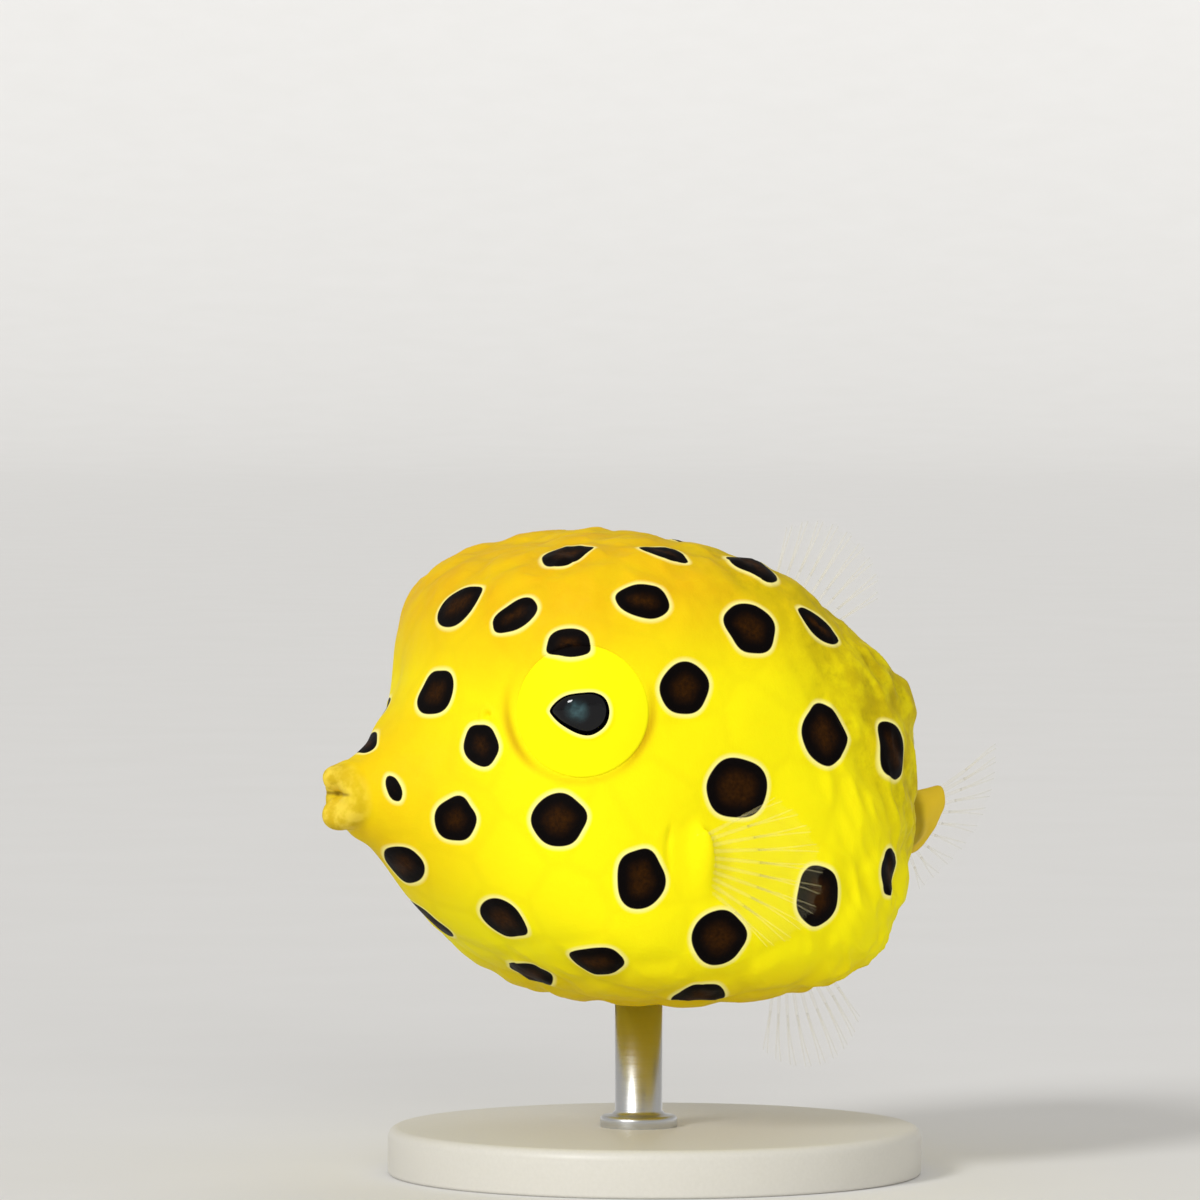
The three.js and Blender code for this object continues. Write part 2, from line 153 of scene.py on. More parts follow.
# How softly the fleshy ridges under the fins join the body, and their own half heights and widths
FIN_BASE_BLENDS = {"dorsal_fin": 0.5, "anal_fin": 0.5, "pectoral_fin": 0.3}
FIN_BASE_SIZE = {"beyond_root": 0.25, "half_height": 0.4, "half_width": 0.3}

# The spots that the photograph shows: centre, long and short axis in its pixels, the long axis' angle
# up from the right, how much fatter the end that it points to is, and how far its ends bend up
SPOTS = [
    (832.5, 299.8, 27, 12.5, 42, -0.3, 0.0),
    (860.3, 305.2, 25, 13, 33, 0.0, 0.0),
    (887.0, 319.3, 22.5, 14.5, 0, 0.0, -0.25),
    (886.5, 274.8, 26, 7.0, 10, -0.5, 0.15),
    (934.0, 274.0, 24.5, 5, -11, 0.15, 0.0),
    (977.8, 281.8, 27.5, 4.5, -27, 0.0, -0.15),
    (1011.8, 309.6, 27, 7, -37, 0.25, 0.2),
    (923.8, 297.8, 27, 16.5, -10, 0.1, 0.0),
    (976.8, 311.2, 28, 21.5, -45, 0.1, 0.0),
    (944.5, 341.3, 26, 24, 80, 0.0, 0.0),
    (821.0, 343.4, 24, 15.5, 62, 0.0, 0.0),
    (843.6, 369.5, 21, 17, 100, 0.0, 0.0),
    (800.3, 391.0, 13.5, 7, 112, 0.0, 0.0),
    (830.8, 406.3, 22, 20.5, 90, 0.0, 0.0),
    (882.0, 406.5, 27, 26, 20, 0.0, 0.0),
    (970.5, 390.8, 30.5, 30, 0, 0.0, 0.0),
    (1013.6, 364.0, 30.5, 21, 102, -0.12, 0.0),
    (1046.8, 372.3, 29.5, 12, 100, -0.08, 0.1),
    (922.7, 436.0, 30, 24, 88, 0.0, 0.0),
    (961.5, 465.0, 28, 25, 50, 0.0, 0.0),
    (1010.3, 444.2, 30.5, 20.5, 86, 0.0, 0.0),
    (1046.8, 432.3, 23, 9, 86, 0.0, 0.0),
    (804.7, 428.8, 22.5, 14, -38, 0.12, 0.0),
    (819.3, 455.5, 28, 6, -42, 0.0, 0.0),
    (854.4, 456.0, 26, 15, -35, -0.05, 0.0),
    (867.8, 482.8, 24.5, 8, -18, 0.0, 0.0),
    (900.6, 476.8, 27, 12, -9, 0.05, 0.0),
    (951.5, 494.0, 27, 9, 10, 0.0, 0.0),
    (796.0, 352.5, 15, 4, 58, 0.0, 0.0),
    (785.4, 367.2, 8, 2.5, 48, 0.0, 0.0),
]
# Rises and hollows of the body's edge: a pixel of the outline, height and half width
HUMPS = [
    (989.0, 283.0, 0.22, 1.3),
    (1028.0, 316.0, -0.26, 1.3),
    (1056.0, 344.0, 0.26, 1.0),
    (1052.5, 430.0, -0.18, 1.2),
    (851.0, 483.0, 0.12, 1.0),
    (790.0, 359.0, 0.14, 0.7),
    (801.5, 334.0, -0.12, 0.8),
    (903.0, 261.5, 0.12, 0.5),
    (816.0, 450.0, 0.12, 1.5),
    (862.0, 268.0, -0.18, 1.3),
    (780.5, 413.0, 0.14, 0.5),
    (783.0, 374.0, -0.12, 0.6),
]
# A spot's least and greatest half axis on the skin, its most length for its width, and its pale rim
SPOT_RADII = (0.2, 1.15)
SPOT_LONGEST = 2.5
HALO = 0.11
# Spots that the photograph doesn't show: how far they stay from the skin that it does show, how many
# places are tried, and how far apart they are
HIDDEN_SPOT_ROOM = 1.05
HIDDEN_SPOT_TRIES = 6000
SPOT_SPACING = 3.1
# The edge of the skin that the photograph shows, by how far the skin faces the camera there
HORIZON = (0.03, 0.2)
# A mirrored spot is about this far from its true mirror image, and never further than the second
MIRROR_SHIFT = 0.25
MIRROR_SHIFT_LIMIT = 1.0

# The skin's mesh, and the plates raised on it
SKIN_CELL = 0.1
PLATE_PITCH = 2.0
PLATE_RISE = 0.13


def unit(turn, rise):
    """The direction at an angle round from the tail, towards the left flank, and an angle up."""
    turn, rise = math.radians(turn), math.radians(rise)
    return np.array([math.cos(turn) * math.cos(rise), -math.sin(turn) * math.cos(rise), math.sin(rise)])


def smoothstep(x, start, end):
    t = np.clip((x - start) / (end - start), 0, 1)
    return t * t * (3 - 2 * t)


def smooth_min(a, b, blend):
    h = np.clip(0.5 + 0.5 * (b - a) / blend, 0, 1)
    return b * (1 - h) + a * h - blend * h * (1 - h)


def smooth_max(a, b, blend):
    return -smooth_min(-a, -b, blend)


def bell(x, width):
    """1 where x is 0, falling smoothly to almost nothing at two widths from there."""
    return np.exp(-((x / width) ** 2))


def normalised(v):
    return v / np.linalg.norm(v, axis=-1, keepdims=True)


def distances(points, place):
    return np.linalg.norm(points - place, axis=1)


WALLS = np.array(
    [unit(0, angle) / distance for angle, distance in MIDLINE_WALLS.values()]
    + [
        unit(side * turn, rise) / distance
        for turn, rise, distance in SIDE_WALLS.values()
        for side in (1, -1)
    ]
)


def carapace_form(p):
    """A rounded box of flat walls. Forms are less than 0 inside and 0 on the surface."""
    r = np.maximum(np.linalg.norm(p, axis=1), 1e-6)
    pull = np.maximum(p @ WALLS.T, 0) / r[:, None]
    for _ in range(EDGE_DOUBLINGS):
        pull = pull * pull
    return r - pull.sum(1) ** (-(0.5**EDGE_DOUBLINGS))


def snout_form(p):
    axis = SNOUT_ROOT - MOUTH
    along = np.clip((p - MOUTH) @ axis / (axis @ axis), 0, 1)
    radius = MOUTH_RADIUS + (SNOUT_ROOT_RADIUS - MOUTH_RADIUS) * along
    return np.linalg.norm(p - MOUTH - along[:, None] * axis, axis=1) - radius


def body_form(p):
    return smooth_min(carapace_form(p), snout_form(p), SNOUT_BLEND)


def lip_form(p, way, x, rise, radius):
    """A crescent that arches from one corner of the mouth to the other, thinner at the corners."""
    z = way * (p[:, 2] - MOUTH_LINE["z"])
    angle = np.clip(np.arctan2(z / (rise + 0.25), p[:, 1] / MOUTH_LINE["half_width"]), 0, math.pi)
    angle = np.where(z < 0, np.where(p[:, 1] > 0, 0, math.pi), angle)
    thick = radius * (LIP_CORNER + (1 - LIP_CORNER) * np.sin(angle))
    middle = np.stack(
        [
            x + MOUTH_LINE["setback"] * np.cos(angle) ** 2,
            MOUTH_LINE["half_width"] * np.cos(angle),
            MOUTH_LINE["z"] + way * (rise * np.sin(angle) + 0.1),
        ],
        1,
    )
    return np.linalg.norm(p - middle, axis=1) - thick


def lips_form(p):
    return smooth_min(*(lip_form(p, **lip) for lip in LIPS.values()), LIP_BLEND)


def stalk_axis(share):
    """The tail stalk's middle line at a share of its length, and the ways along, across and up it."""
    bend = np.radians(STALK["bend"]) * share
    roll, slant = (np.radians(STALK[key]) * share[..., None] for key in ("roll", "slant"))
    zero = np.zeros_like(bend)
    reach = STALK["length"] * share
    x = STALK["start"] + reach * np.cos(bend / 2)
    y = -reach * np.sin(bend / 2)
    middle = np.stack([x, y, zero + STALK["z"]], -1)
    along = np.stack([np.cos(bend), -np.sin(bend), zero], -1)
    across = np.stack([np.sin(bend), np.cos(bend), zero], -1)
    vertical = np.array([0.0, 0.0, 1.0])
    rolled = across * np.cos(roll) + vertical * np.sin(roll)
    up = vertical * np.cos(roll) - across * np.sin(roll)
    slanted = along * np.cos(slant) - up * np.sin(slant)
    return middle, slanted, rolled, up * np.cos(slant) + along * np.sin(slant)


def stalk_form(p):
    """The tail stalk, flattened from side to side, with a rounded end that spreads to the fin."""
    share = np.clip((p[:, 0] - STALK["start"]) / STALK["length"], 0, 1)
    for _ in range(3):
        middle, along, _, _ = stalk_axis(share)
        share = np.clip(share + ((p - middle) * along).sum(1) / STALK["length"], 0, 1)
    middle, along, across, up = stalk_axis(share)
    offset = p - middle
    start, waist, end = STALK_HEIGHTS
    before = np.maximum(1 - share / STALK_WAIST, 0)
    after = np.maximum(share - STALK_WAIST, 0) / (1 - STALK_WAIST)
    half_height = waist + (start - waist) * before**2 + (end - waist) * after**2
    half_width = STALK_WIDTHS[0] + (STALK_WIDTHS[1] - STALK_WIDTHS[0]) * share
    local = np.stack([(offset * way).sum(1) for way in (across, up, along)], 1)
    radii = np.stack([half_width, half_height, np.full(len(p), STALK_END_REACH)], 1)
    return (np.linalg.norm(local / radii, axis=1) - 1) * half_width


def ellipsoid_form(p, middle, axes, radii):
    local = (p - middle) @ np.array(axes).T / radii
    return (np.linalg.norm(local, axis=1) - 1) * min(radii)


def slope(form, p, step=0.01):
    out = np.empty_like(p)
    for axis in range(3):
        shift = np.zeros(3)
        shift[axis] = step
        out[:, axis] = form(p + shift) - form(p - shift)
    return out / (2 * step)


def drawn_onto(form, p, rounds=4):
    for _ in range(rounds):
        g = slope(form, p)
        p = p - np.clip(form(p)[:, None] * g / np.maximum((g * g).sum(1), 1e-4)[:, None], -0.2, 0.2)
    return p


def body_point(aim):
    """Where a direction from the heart meets the plain body, and the way out there."""
    direction = normalised(np.array(aim, float))
    inner, outer = 2.0, 18.0
    for _ in range(40):
        middle = (inner + outer) / 2
        if body_form(direction[None] * middle)[0] < 0:
            inner = middle
        else:
            outer = middle
    point = direction * inner
    return point, normalised(slope(body_form, point[None]))[0]


def fin_place(name):
    """The middle of a fin's root, the line of the root, the way the fin points and its face's way."""
    size = FINS[name]
    if name == "caudal_fin":
        at = stalk_axis(np.array(1.0))[0]
        out, roll, slant = unit(TAIL_TURN, 0), math.radians(STALK["roll"]), math.radians(STALK["slant"])
        along = np.array([0, 0, math.cos(roll)]) + np.cross(out, [0, 0, math.sin(roll)])
        along = along * math.cos(slant) + out * math.sin(slant)
    else:
        at, _ = body_point(size["aim"])
        out = unit(*size["out"])
        along = unit(*size["along"])
        along = normalised(along - (along @ out) * out)
    return at, along, out, normalised(np.cross(along, out))


def fin_base_form(p, name):
    """The low fleshy ridge that a fin grows from."""
    at, along, out, face = fin_place(name)
    beyond_root, half_height, half_width = FIN_BASE_SIZE.values()
    radii = (FINS[name]["root"] / 2 + beyond_root, half_height, half_width)
    return ellipsoid_form(p, at, (along, out, face), radii)


def both(p):
    """The point itself, or its mirror image where it is on the right side."""
    return p * np.where(p[:, 1:2] > 0, (1, -1, 1), 1)


def skin_form(p):
    """Head, trunk, tail stalk, lips and the bases of the fins in one skin."""
    front = smooth_max(body_form(p), SNOUT_FRONT - p[:, 0], SNOUT_BLUNTNESS)
    form = smooth_min(front, stalk_form(p), STALK_BLEND)
    form = smooth_min(form, lips_form(p), LIP_BLEND)
    for name, blend in FIN_BASE_BLENDS.items():
        where = both(p) if name == "pectoral_fin" else p
        form = smooth_min(form, fin_base_form(where, name), blend)
    return form


def in_turns(form, points, size=100000):
    """A form at many points, without holding all of its working at once."""
    return np.concatenate([form(points[i : i + size]) for i in range(0, len(points), size)])


def surface_net(form, low, high, cell, block=4):
    """The points and quads of the surface where form is 0, one point in each cell that it crosses.
    Only the blocks of cells near the surface are worked out in full."""
    blocks = [math.ceil((b - a) / (cell * block)) for a, b in zip(low, high)]
    axes = [a + cell * np.arange(count * block) for a, count in zip(low, blocks)]
    middles = np.meshgrid(*(axis.reshape(-1, block).mean(1) for axis in axes), indexing="ij")
    coarse = in_turns(form, np.stack([m.ravel() for m in middles], 1)).reshape(blocks)
    inside, near = coarse < 0, np.abs(coarse) < 1.5 * cell * block
    for axis in range(3):
        inside, near = inside.repeat(block, axis), near.repeat(block, axis)
    places = np.argwhere(near)
    inside[near] = in_turns(form, np.stack([axes[d][places[:, d]] for d in range(3)], 1)) < 0
    shape = inside.shape
    corners = [
        inside[i : shape[0] - 1 + i, j : shape[1] - 1 + j, k : shape[2] - 1 + k]
        for i, j, k in itertools.product((0, 1), repeat=3)
    ]
    crossed = np.any(corners, axis=0) & ~np.all(corners, axis=0)
    index = np.full(crossed.shape, -1)
    index[crossed] = np.arange(crossed.sum())
    cells = np.argwhere(crossed)
    points = np.stack([axes[d][cells[:, d]] for d in range(3)], 1) + cell / 2
    quads = []
    for axis in range(3):
        u, v = np.eye(3, dtype=int)[[(axis + 1) % 3, (axis + 2) % 3]]
        lower = np.take(inside, range(shape[axis] - 1), axis)
        upper = np.take(inside, range(1, shape[axis]), axis)
        edges = np.argwhere(lower != upper)
        around = [index[tuple((edges - offset).T)] for offset in (u + v, v, 0 * u, u)]
        quad = np.stack(around, 1)
        outward = lower[tuple(edges.T)]
        quads.append(np.where(outward[:, None], quad, quad[:, ::-1]))
    return points, np.concatenate(quads)


def relaxed(form, points, quads, rounds):
    """The same mesh with its points evened out along the surface."""
    edges = np.concatenate([quads[:, [0, 1]], quads[:, [1, 2]], quads[:, [2, 3]], quads[:, [3, 0]]])
    first, second = edges.T
    count = np.bincount(first, minlength=len(points))[:, None]
    for _ in range(rounds):
        total = np.stack([np.bincount(first, points[second, d], len(points)) for d in range(3)], 1)
        points = drawn_onto(form, 0.5 * points + 0.5 * total / count, 2)
    return points


def add_object(name, data):
    thing = bpy.data.objects.new(name, data)
    bpy.context.scene.collection.objects.link(thing)
    return thing


def make_mesh(name, points, faces, attributes=None, smooth=True):
    """A piece of the fish from points in its own frame and faces of three or four corners."""
    mesh = bpy.data.meshes.new(name)
    mesh.from_pydata(((points + HEART) * MM).tolist(), [], [tuple(f) for f in faces])
    for key, values in (attributes or {}).items():
        layer = mesh.attributes.new(key, "FLOAT", "POINT")
        layer.data.foreach_set("value", np.asarray(values, np.float32))
    mesh.polygons.foreach_set("use_smooth", [smooth] * len(mesh.polygons))
    mesh.update()
    return add_object(name, mesh)


def ride(piece, slot, *nodes):
    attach(piece, "root")
    if nodes:
        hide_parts(*nodes)
    return piece


def view_axes():
    """The camera's right, up and back directions when it looks straight at the heart."""
    turn, rise = math.radians(VIEW_TURN), math.radians(VIEW_RISE)
    back = np.array([math.sin(turn) * math.cos(rise), -math.cos(turn) * math.cos(rise), math.sin(rise)])
    right = np.array([math.cos(turn), math.sin(turn), 0.0])
    return right, np.cross(back, right), back


def make_camera():
    """The camera at the photograph's viewing angle, turned so that the heart falls on its pixel."""
    right, up, back = view_axes()
    middle = (PICTURE["left"] + PICTURE["side"] / 2, PICTURE["top"] + PICTURE["side"] / 2)
    place = Vector((HEART + back * VIEW_DISTANCE) * MM)
    aside = right * (middle[0] - HEART_PIXEL[0]) * PIXEL
    above = up * (HEART_PIXEL[1] - middle[1]) * PIXEL
    target = HEART + aside + above
    data = bpy.data.cameras.new("camera")
    data.sensor_fit = "HORIZONTAL"
    data.sensor_width = SENSOR
    data.lens = SENSOR * VIEW_DISTANCE / (PICTURE["side"] * PIXEL)
    data.clip_start = 0.01
    data.clip_end = 10
    camera = add_object("camera", data)
    camera.rotation_mode = "QUATERNION"
    camera.location = place
    camera.rotation_quaternion = (Vector(target * MM) - place).to_track_quat("-Z", "Y")
    bpy.context.scene.camera = camera
    return camera


class PhotoView:
    """Goes between the photograph's pixels and places in the fish's own frame."""

    def __init__(self, camera):
        self.turn = np.array(camera.rotation_quaternion.to_matrix())
        self.eye = np.array(camera.location) / MM - HEART
        self.scale = camera.data.lens / SENSOR * PICTURE["side"]
        self.middle = np.array([PICTURE["left"], PICTURE["top"]]) + PICTURE["side"] / 2

    def ray(self, u, v):
        offset = (np.array([u, v]) - self.middle) / self.scale
        return normalised(self.turn @ np.array([offset[0], -offset[1], -1.0]))

    def pixel(self, p):
        local = (np.asarray(p) - self.eye) @ self.turn
        return self.middle + self.scale * np.stack([local[..., 0], -local[..., 1]], -1) / -local[..., 2:]

    def skin_at(self, u, v):
        """Where a pixel's ray first meets the skin, or passes closest to it, and the way out there."""
        reach = np.arange(VIEW_DISTANCE - FISH_REACH, VIEW_DISTANCE + FISH_REACH, 0.02)
        points = self.eye + reach[:, None] * self.ray(u, v)
        values = skin_form(points)
        hits = np.nonzero(values < 0)[0]
        point = points[hits[0] if len(hits) else np.argmin(values)]
        point = drawn_onto(skin_form, point[None])
        return point[0], normalised(slope(skin_form, point))[0]


def tangents(normal):
    across = normalised(np.cross([0.0, 0.1, 1.0], normal))
    return across, np.cross(normal, across)


class Spot:
    """A dark spot: a place on the skin and a matrix that takes the skin around it to a unit circle."""

    def __init__(self, centre, normal, to_circle, taper, bend, random):
        self.centre = centre
        self.normal = normal
        self.to_circle = to_circle
        self.taper = taper
        self.bend = bend
        self.waves = rim_waves(random)

    def distance(self, p):
        """How far points on the skin are outside the spot's rim, less than 0 in it."""
        across, up = tangents(self.normal)
        offset = p - self.centre
        flat = np.stack([offset @ across, offset @ up], 1)
        spread = np.linalg.norm(offset, axis=1) / np.maximum(np.linalg.norm(flat, axis=1), 1e-6)
        flat = flat * np.minimum(spread, 2.0)[:, None]
        x, y = self.to_circle @ flat.T
        y = (y - self.bend * (np.minimum(x * x, 1.5) - 0.4)) / np.clip(1 + self.taper * x, 0.25, 2)
        radius = np.maximum(np.hypot(x, y), 1e-6)
        angle = np.arctan2(y, x)
        rim = 1.0
        for count, size, phase in self.waves:
            rim = rim + size * np.cos(count * angle + phase)
        return np.linalg.norm(flat, axis=1) * (1 - rim / radius)


def rim_waves(random):
    """Three to six soft corners, so that a spot is a little angular, as its plate is."""
    sizes = {3: 0.035, 4: 0.035, 5: 0.03, 6: 0.015}
    return [
        (count, random.uniform(0.005, size), random.uniform(0, 2 * math.pi))
        for count, size in sizes.items()
    ]


def photo_spot(view, spot, random):
    """A spot of the photograph, laid on the skin so that it looks from the camera as it does there."""
    u, v, long, short, angle, taper, bend = spot
    centre, normal = view.skin_at(u, v)
    step = 0.02
    here = view.pixel(centre)
    pixels = np.stack([(view.pixel(centre + step * t) - here) / step for t in tangents(normal)], 1)
    turn = math.radians(angle)
    to_axes = np.array([[math.cos(turn), -math.sin(turn)], [-math.sin(turn), -math.cos(turn)]])
    to_circle = np.diag([2 / long, 2 / short]) @ to_axes @ pixels
    left, inverse_radii, right = np.linalg.svd(to_circle)
    radii = np.clip(1 / inverse_radii, *SPOT_RADII)
    radii = np.maximum(radii, radii.max() / SPOT_LONGEST)
    return Spot(centre, normal, left @ np.diag(1 / radii) @ right, taper, bend, random)


def mirror_images(shown, free, random):
    """Which free places are nearest to the mirror images of the spots that show, a little shifted."""
    chosen = []
    for spot in shown:
        image = spot.centre * (1, -1, 1)
        nearest = np.argmin(distances(free - image, random.normal(0, MIRROR_SHIFT, 3)))
        if np.linalg.norm(free[nearest] - image) < MIRROR_SHIFT_LIMIT:
            chosen.append(nearest)
    return chosen


def rounded_spot(place, normal, off_snout, random):
    """A nearly round spot, which is smaller on the snout."""
    radius = (0.62 + 0.36 * off_snout) * random.uniform(0.9, 1.08)
    turn = random.uniform(0, math.pi)
    squash = random.uniform(0.82, 1.0)
    rotate = np.array([[math.cos(turn), math.sin(turn)], [-math.sin(turn), math.cos(turn)]])
    to_circle = np.diag([1 / radius, 1 / (radius * squash)]) @ rotate
    return Spot(place, normal, to_circle, random.uniform(-0.1, 0.1), 0.0, random)


def hidden_spots(view, shown, points, normals, random):
    """Spots where the photograph doesn't show the skin: the right flank mirrors the left one, and the
    rest are spread as evenly as those that show."""
    spots = list(shown)
    facing = normals @ normalised(view.eye)
    horizon = points[(facing > HORIZON[0]) & (facing < HORIZON[1])][::7]
    mouth_end = points[:, 0] < -10.2
    on_stalk = (stalk_form(points) < 0.35) & (points[:, 0] > 7.5)
    may_bear = (facing < 0) & ~mouth_end & ~on_stalk
    free, free_normals = points[may_bear], normals[may_bear]
    right_eye = eye_frame(SIDES["right"])[0]
    order = random.permutation(len(free))
    mirrored = mirror_images(shown, free, random)
    for i in [*mirrored, *order[:HIDDEN_SPOT_TRIES]]:
        place = free[i]
        if distances(horizon, place).min() < HIDDEN_SPOT_ROOM:
            continue
        if np.linalg.norm(place - right_eye) < EYE_RADIUS + 0.9 and i not in mirrored:
            continue
        off_snout = smoothstep(place[0], -9.5, -4.0)
        spacing = SPOT_SPACING * (0.62 + 0.38 * off_snout)
        room = spacing * (0.85 if i in mirrored else 1)
        if min(np.linalg.norm(place - s.centre) for s in spots) < room:
            continue
        spots.append(rounded_spot(place, free_normals[i], off_snout, random))
    return spots


def spot_distance(spots, points, normals):
    """Distance outside the nearest spot's rim, for points on the skin or close to it, up to a limit."""
    limit = 3.0
    best = np.full(len(points), limit)
    for spot in spots:
        near = (distances(points, spot.centre) < limit) & (normals @ spot.normal > -0.2)
        best[near] = np.minimum(best[near], spot.distance(points[near]))
    return best


def plate_seeds(points, spots, random):
    """The plates' middles, evenly spread over the skin. Each spot has its plate."""
    count = min(len(points), 16000)
    sample = points[random.choice(len(points), count, replace=False)]
    seeds = [s.centre for s in spots]
    gap = np.min([distances(sample, s) for s in seeds], axis=0)
    while gap.max() > PLATE_PITCH * 0.88:
        seeds.append(sample[np.argmax(gap)])
        gap = np.minimum(gap, distances(sample, seeds[-1]))
    seeds = np.array(seeds)
    for _ in range(8):
        owner = np.argmin(((sample[:, None] - seeds[None]) ** 2).sum(-1), axis=1)
        for i in range(len(spots), len(seeds)):
            mine = sample[owner == i]
            if len(mine):
                seeds[i] = mine.mean(0)
    return seeds


def seam_distance(points, seeds):
    """How far points are from the seam between their own plate and the next one."""
    out = np.empty(len(points))
    for start in range(0, len(points), 20000):
        block = points[start : start + 20000]
        gaps = ((block[:, None] - seeds[None]) ** 2).sum(-1)
        two = np.argpartition(gaps, 2, axis=1)[:, :2]
        squares = np.take_along_axis(gaps, two, 1)
        apart = np.linalg.norm(seeds[two[:, 0]] - seeds[two[:, 1]], axis=1)
        out[start : start + 20000] = np.abs(squares[:, 1] - squares[:, 0]) / (2 * np.maximum(apart, 1e-3))
    return out


NOISE_SIDE = 32
NOISE_TABLE = np.random.default_rng(5).uniform(-1, 1, (NOISE_SIDE,) * 3)


def fractal(points, size, octaves=3, shift=0.0):
    """Smooth noise from about -1 to 1, with features of a size in millimetres."""
    total = np.zeros(len(points))
    for octave in range(octaves):
        place = points / size * 2**octave + shift + 11.3 * octave
        cell = np.floor(place).astype(int)
        share = smoothstep(place - cell, 0, 1)
        for corner in itertools.product((0, 1), repeat=3):
            weight = np.where(corner, share, 1 - share).prod(1)
            total += weight * NOISE_TABLE[tuple(((cell + corner) % NOISE_SIDE).T)] / 2**octave
    return total


def eye_frame(side=SIDES["left"]):
    """The middle of one eye on the skin, and its own directions back along the skin, up and out."""
    at, out = body_point(EYE_AIM)
    back = normalised(np.array([1.0, 0, 0]) - out[0] * out)
    up = np.cross(out, back)
    mirror = np.array([1, side, 1])
    return at * mirror, back * mirror, up * mirror, out * mirror


# The socket's crease is a little wider than the eye and lies further forward and up
SOCKET = {"radius": 2.44, "back": -0.12, "up": 0.12, "width": 0.16}


def socket_crease(points):
    """1 in the fine crease round the front, bottom and back of each eye, and 0 away from it."""
    at, back, up, out = eye_frame()
    offset = both(points) - at
    x, y = offset @ back - SOCKET["back"], offset @ up - SOCKET["up"]
    line = bell(np.hypot(x, y) - SOCKET["radius"], SOCKET["width"])
    sides = 0.35 + 0.65 * smoothstep(np.abs(x), 1.2, 2.2)
    return line * sides * smoothstep(-y, -1.2, 0.8) * (np.abs(offset @ out) < EYE_DEPTH)


def eye_relief(points):
    """The skin goes under the edge of each eye's disc, and is creased round it."""
    at, back, up, out = eye_frame()
    offset = both(points) - at
    r = np.hypot(offset @ back, offset @ up)
    under = (1 - smoothstep(r, EYE_RADIUS - 0.2, EYE_RADIUS)) * (np.abs(offset @ out) < EYE_DEPTH)
    return -0.3 * under - 0.06 * socket_crease(points)


def gill_relief(points):
    """A fine slit in front of each pectoral fin."""
    along = (points[:, 2] - GILL["z"]) / (GILL["height"] / 2)
    behind = points[:, 0] - GILL["x"] - 0.18 * along**2
    fade = smoothstep(1 - np.abs(along), 0, 0.5) * (np.abs(points[:, 1]) > 5)
    cover = 0.02 * bell(behind + 0.3, 0.22)
    slit = 0.07 * bell(behind, 0.09)
    return fade * (cover - slit)


def mouth_relief(points):
    """The line of the closed mouth, between the lips."""
    across = np.abs(points[:, 1]) / MOUTH_LINE["half_width"]
    line = bell(points[:, 2] - MOUTH_LINE["z"], MOUTH_LINE["slit_width"])
    return -MOUTH_LINE["slit"] * line * (1 - smoothstep(across, 1.0, 1.7)) * (points[:, 0] < -10.8)


def hump_relief(points, view):
    """The rises and hollows that give the body's edge its outline."""
    out = np.zeros(len(points))
    for u, v, height, half_width in HUMPS:
        middle, _ = view.skin_at(u, v)
        out += height * bell(distances(points, middle), half_width)
    return out


def nostril_relief(points):
    """A pit on each side of the snout, with a low rim."""
    at, _ = body_point(NOSTRIL_AIM)
    gap = distances(both(points), at)
    rim = 0.07 * bell(gap - 0.2, 0.1)
    pit = 0.2 * bell(gap, 0.11)
    return rim - pit


# Wrinkles run down and back over the rear of the body
WRINKLE_STRETCH = np.array([[1.0, 0.0, 0.35], [0.0, 1.0, 0.0], [0.35, 0.0, 0.6]])


def wrinkle_hollows(points):
    """0 along the crests of the wrinkles, and about 0.5 between them."""
    return np.abs(fractal(points @ WRINKLE_STRETCH, 0.8, 2))


def stalk_groove(points):
    """1 in the groove where the tail stalk comes out of the carapace."""
    groove = bell(body_form(points) - 0.35, 0.3)
    return groove * (1 - smoothstep(stalk_form(points), 0.1, 0.5)) * (points[:, 0] > 6)


def stalk_relief(points):
    """The groove round the stalk's root, and folds along the stalk to the rays of its fin."""
    on_stalk = smoothstep(points[:, 0], 7.6, 8.8) * (1 - smoothstep(stalk_form(points), 0.1, 0.5))
    folds = fractal(points * (0.35, 1, 1), 0.7, 2)
    return 0.09 * on_stalk * folds - 0.2 * stalk_groove(points)


def skin_relief(points, seeds, view):
    """How far the skin stands above its plain form: plates, wrinkles, creases and pits."""
    x, z = points[:, 0], points[:, 2]
    eye_gap = distances(both(points), eye_frame()[0])
    off_snout = smoothstep(x, -9.8, -6.5)
    off_eye = smoothstep(eye_gap, 2.5, 3.4)
    plated = off_snout * off_eye * smoothstep(stalk_form(points), 0.1, 0.8)
    edges = np.maximum(smoothstep(z, 4.0, 7.0), smoothstep(-z, 4.5, 7.0))
    strength = 0.15 + 0.75 * np.maximum(edges, smoothstep(x, 2.0, 6.5))
    plates = PLATE_RISE * strength * (smoothstep(seam_distance(points, seeds), 0.0, 0.75) - 0.5)
    wrinkled = np.maximum(smoothstep(x, 0.5, 5.5), 0.3 * edges)
    wrinkles = 0.18 * wrinkled * (0.35 - wrinkle_hollows(points))
    uneven = 0.05 * fractal(points, 2.4, 2, shift=7.0)
    details = eye_relief(points) + gill_relief(points) + nostril_relief(points) + mouth_relief(points)
    details += stalk_relief(points) + hump_relief(points, view)
    return plated * (plates + wrinkles + uneven) + details


def vertex_normals(points, quads):
    face = np.cross(points[quads[:, 2]] - points[quads[:, 0]], points[quads[:, 3]] - points[quads[:, 1]])
    total = np.zeros_like(points)
    for corner in range(4):
        for d in range(3):
            total[:, d] += np.bincount(quads[:, corner], face[:, d], len(points))
    return normalised(total)


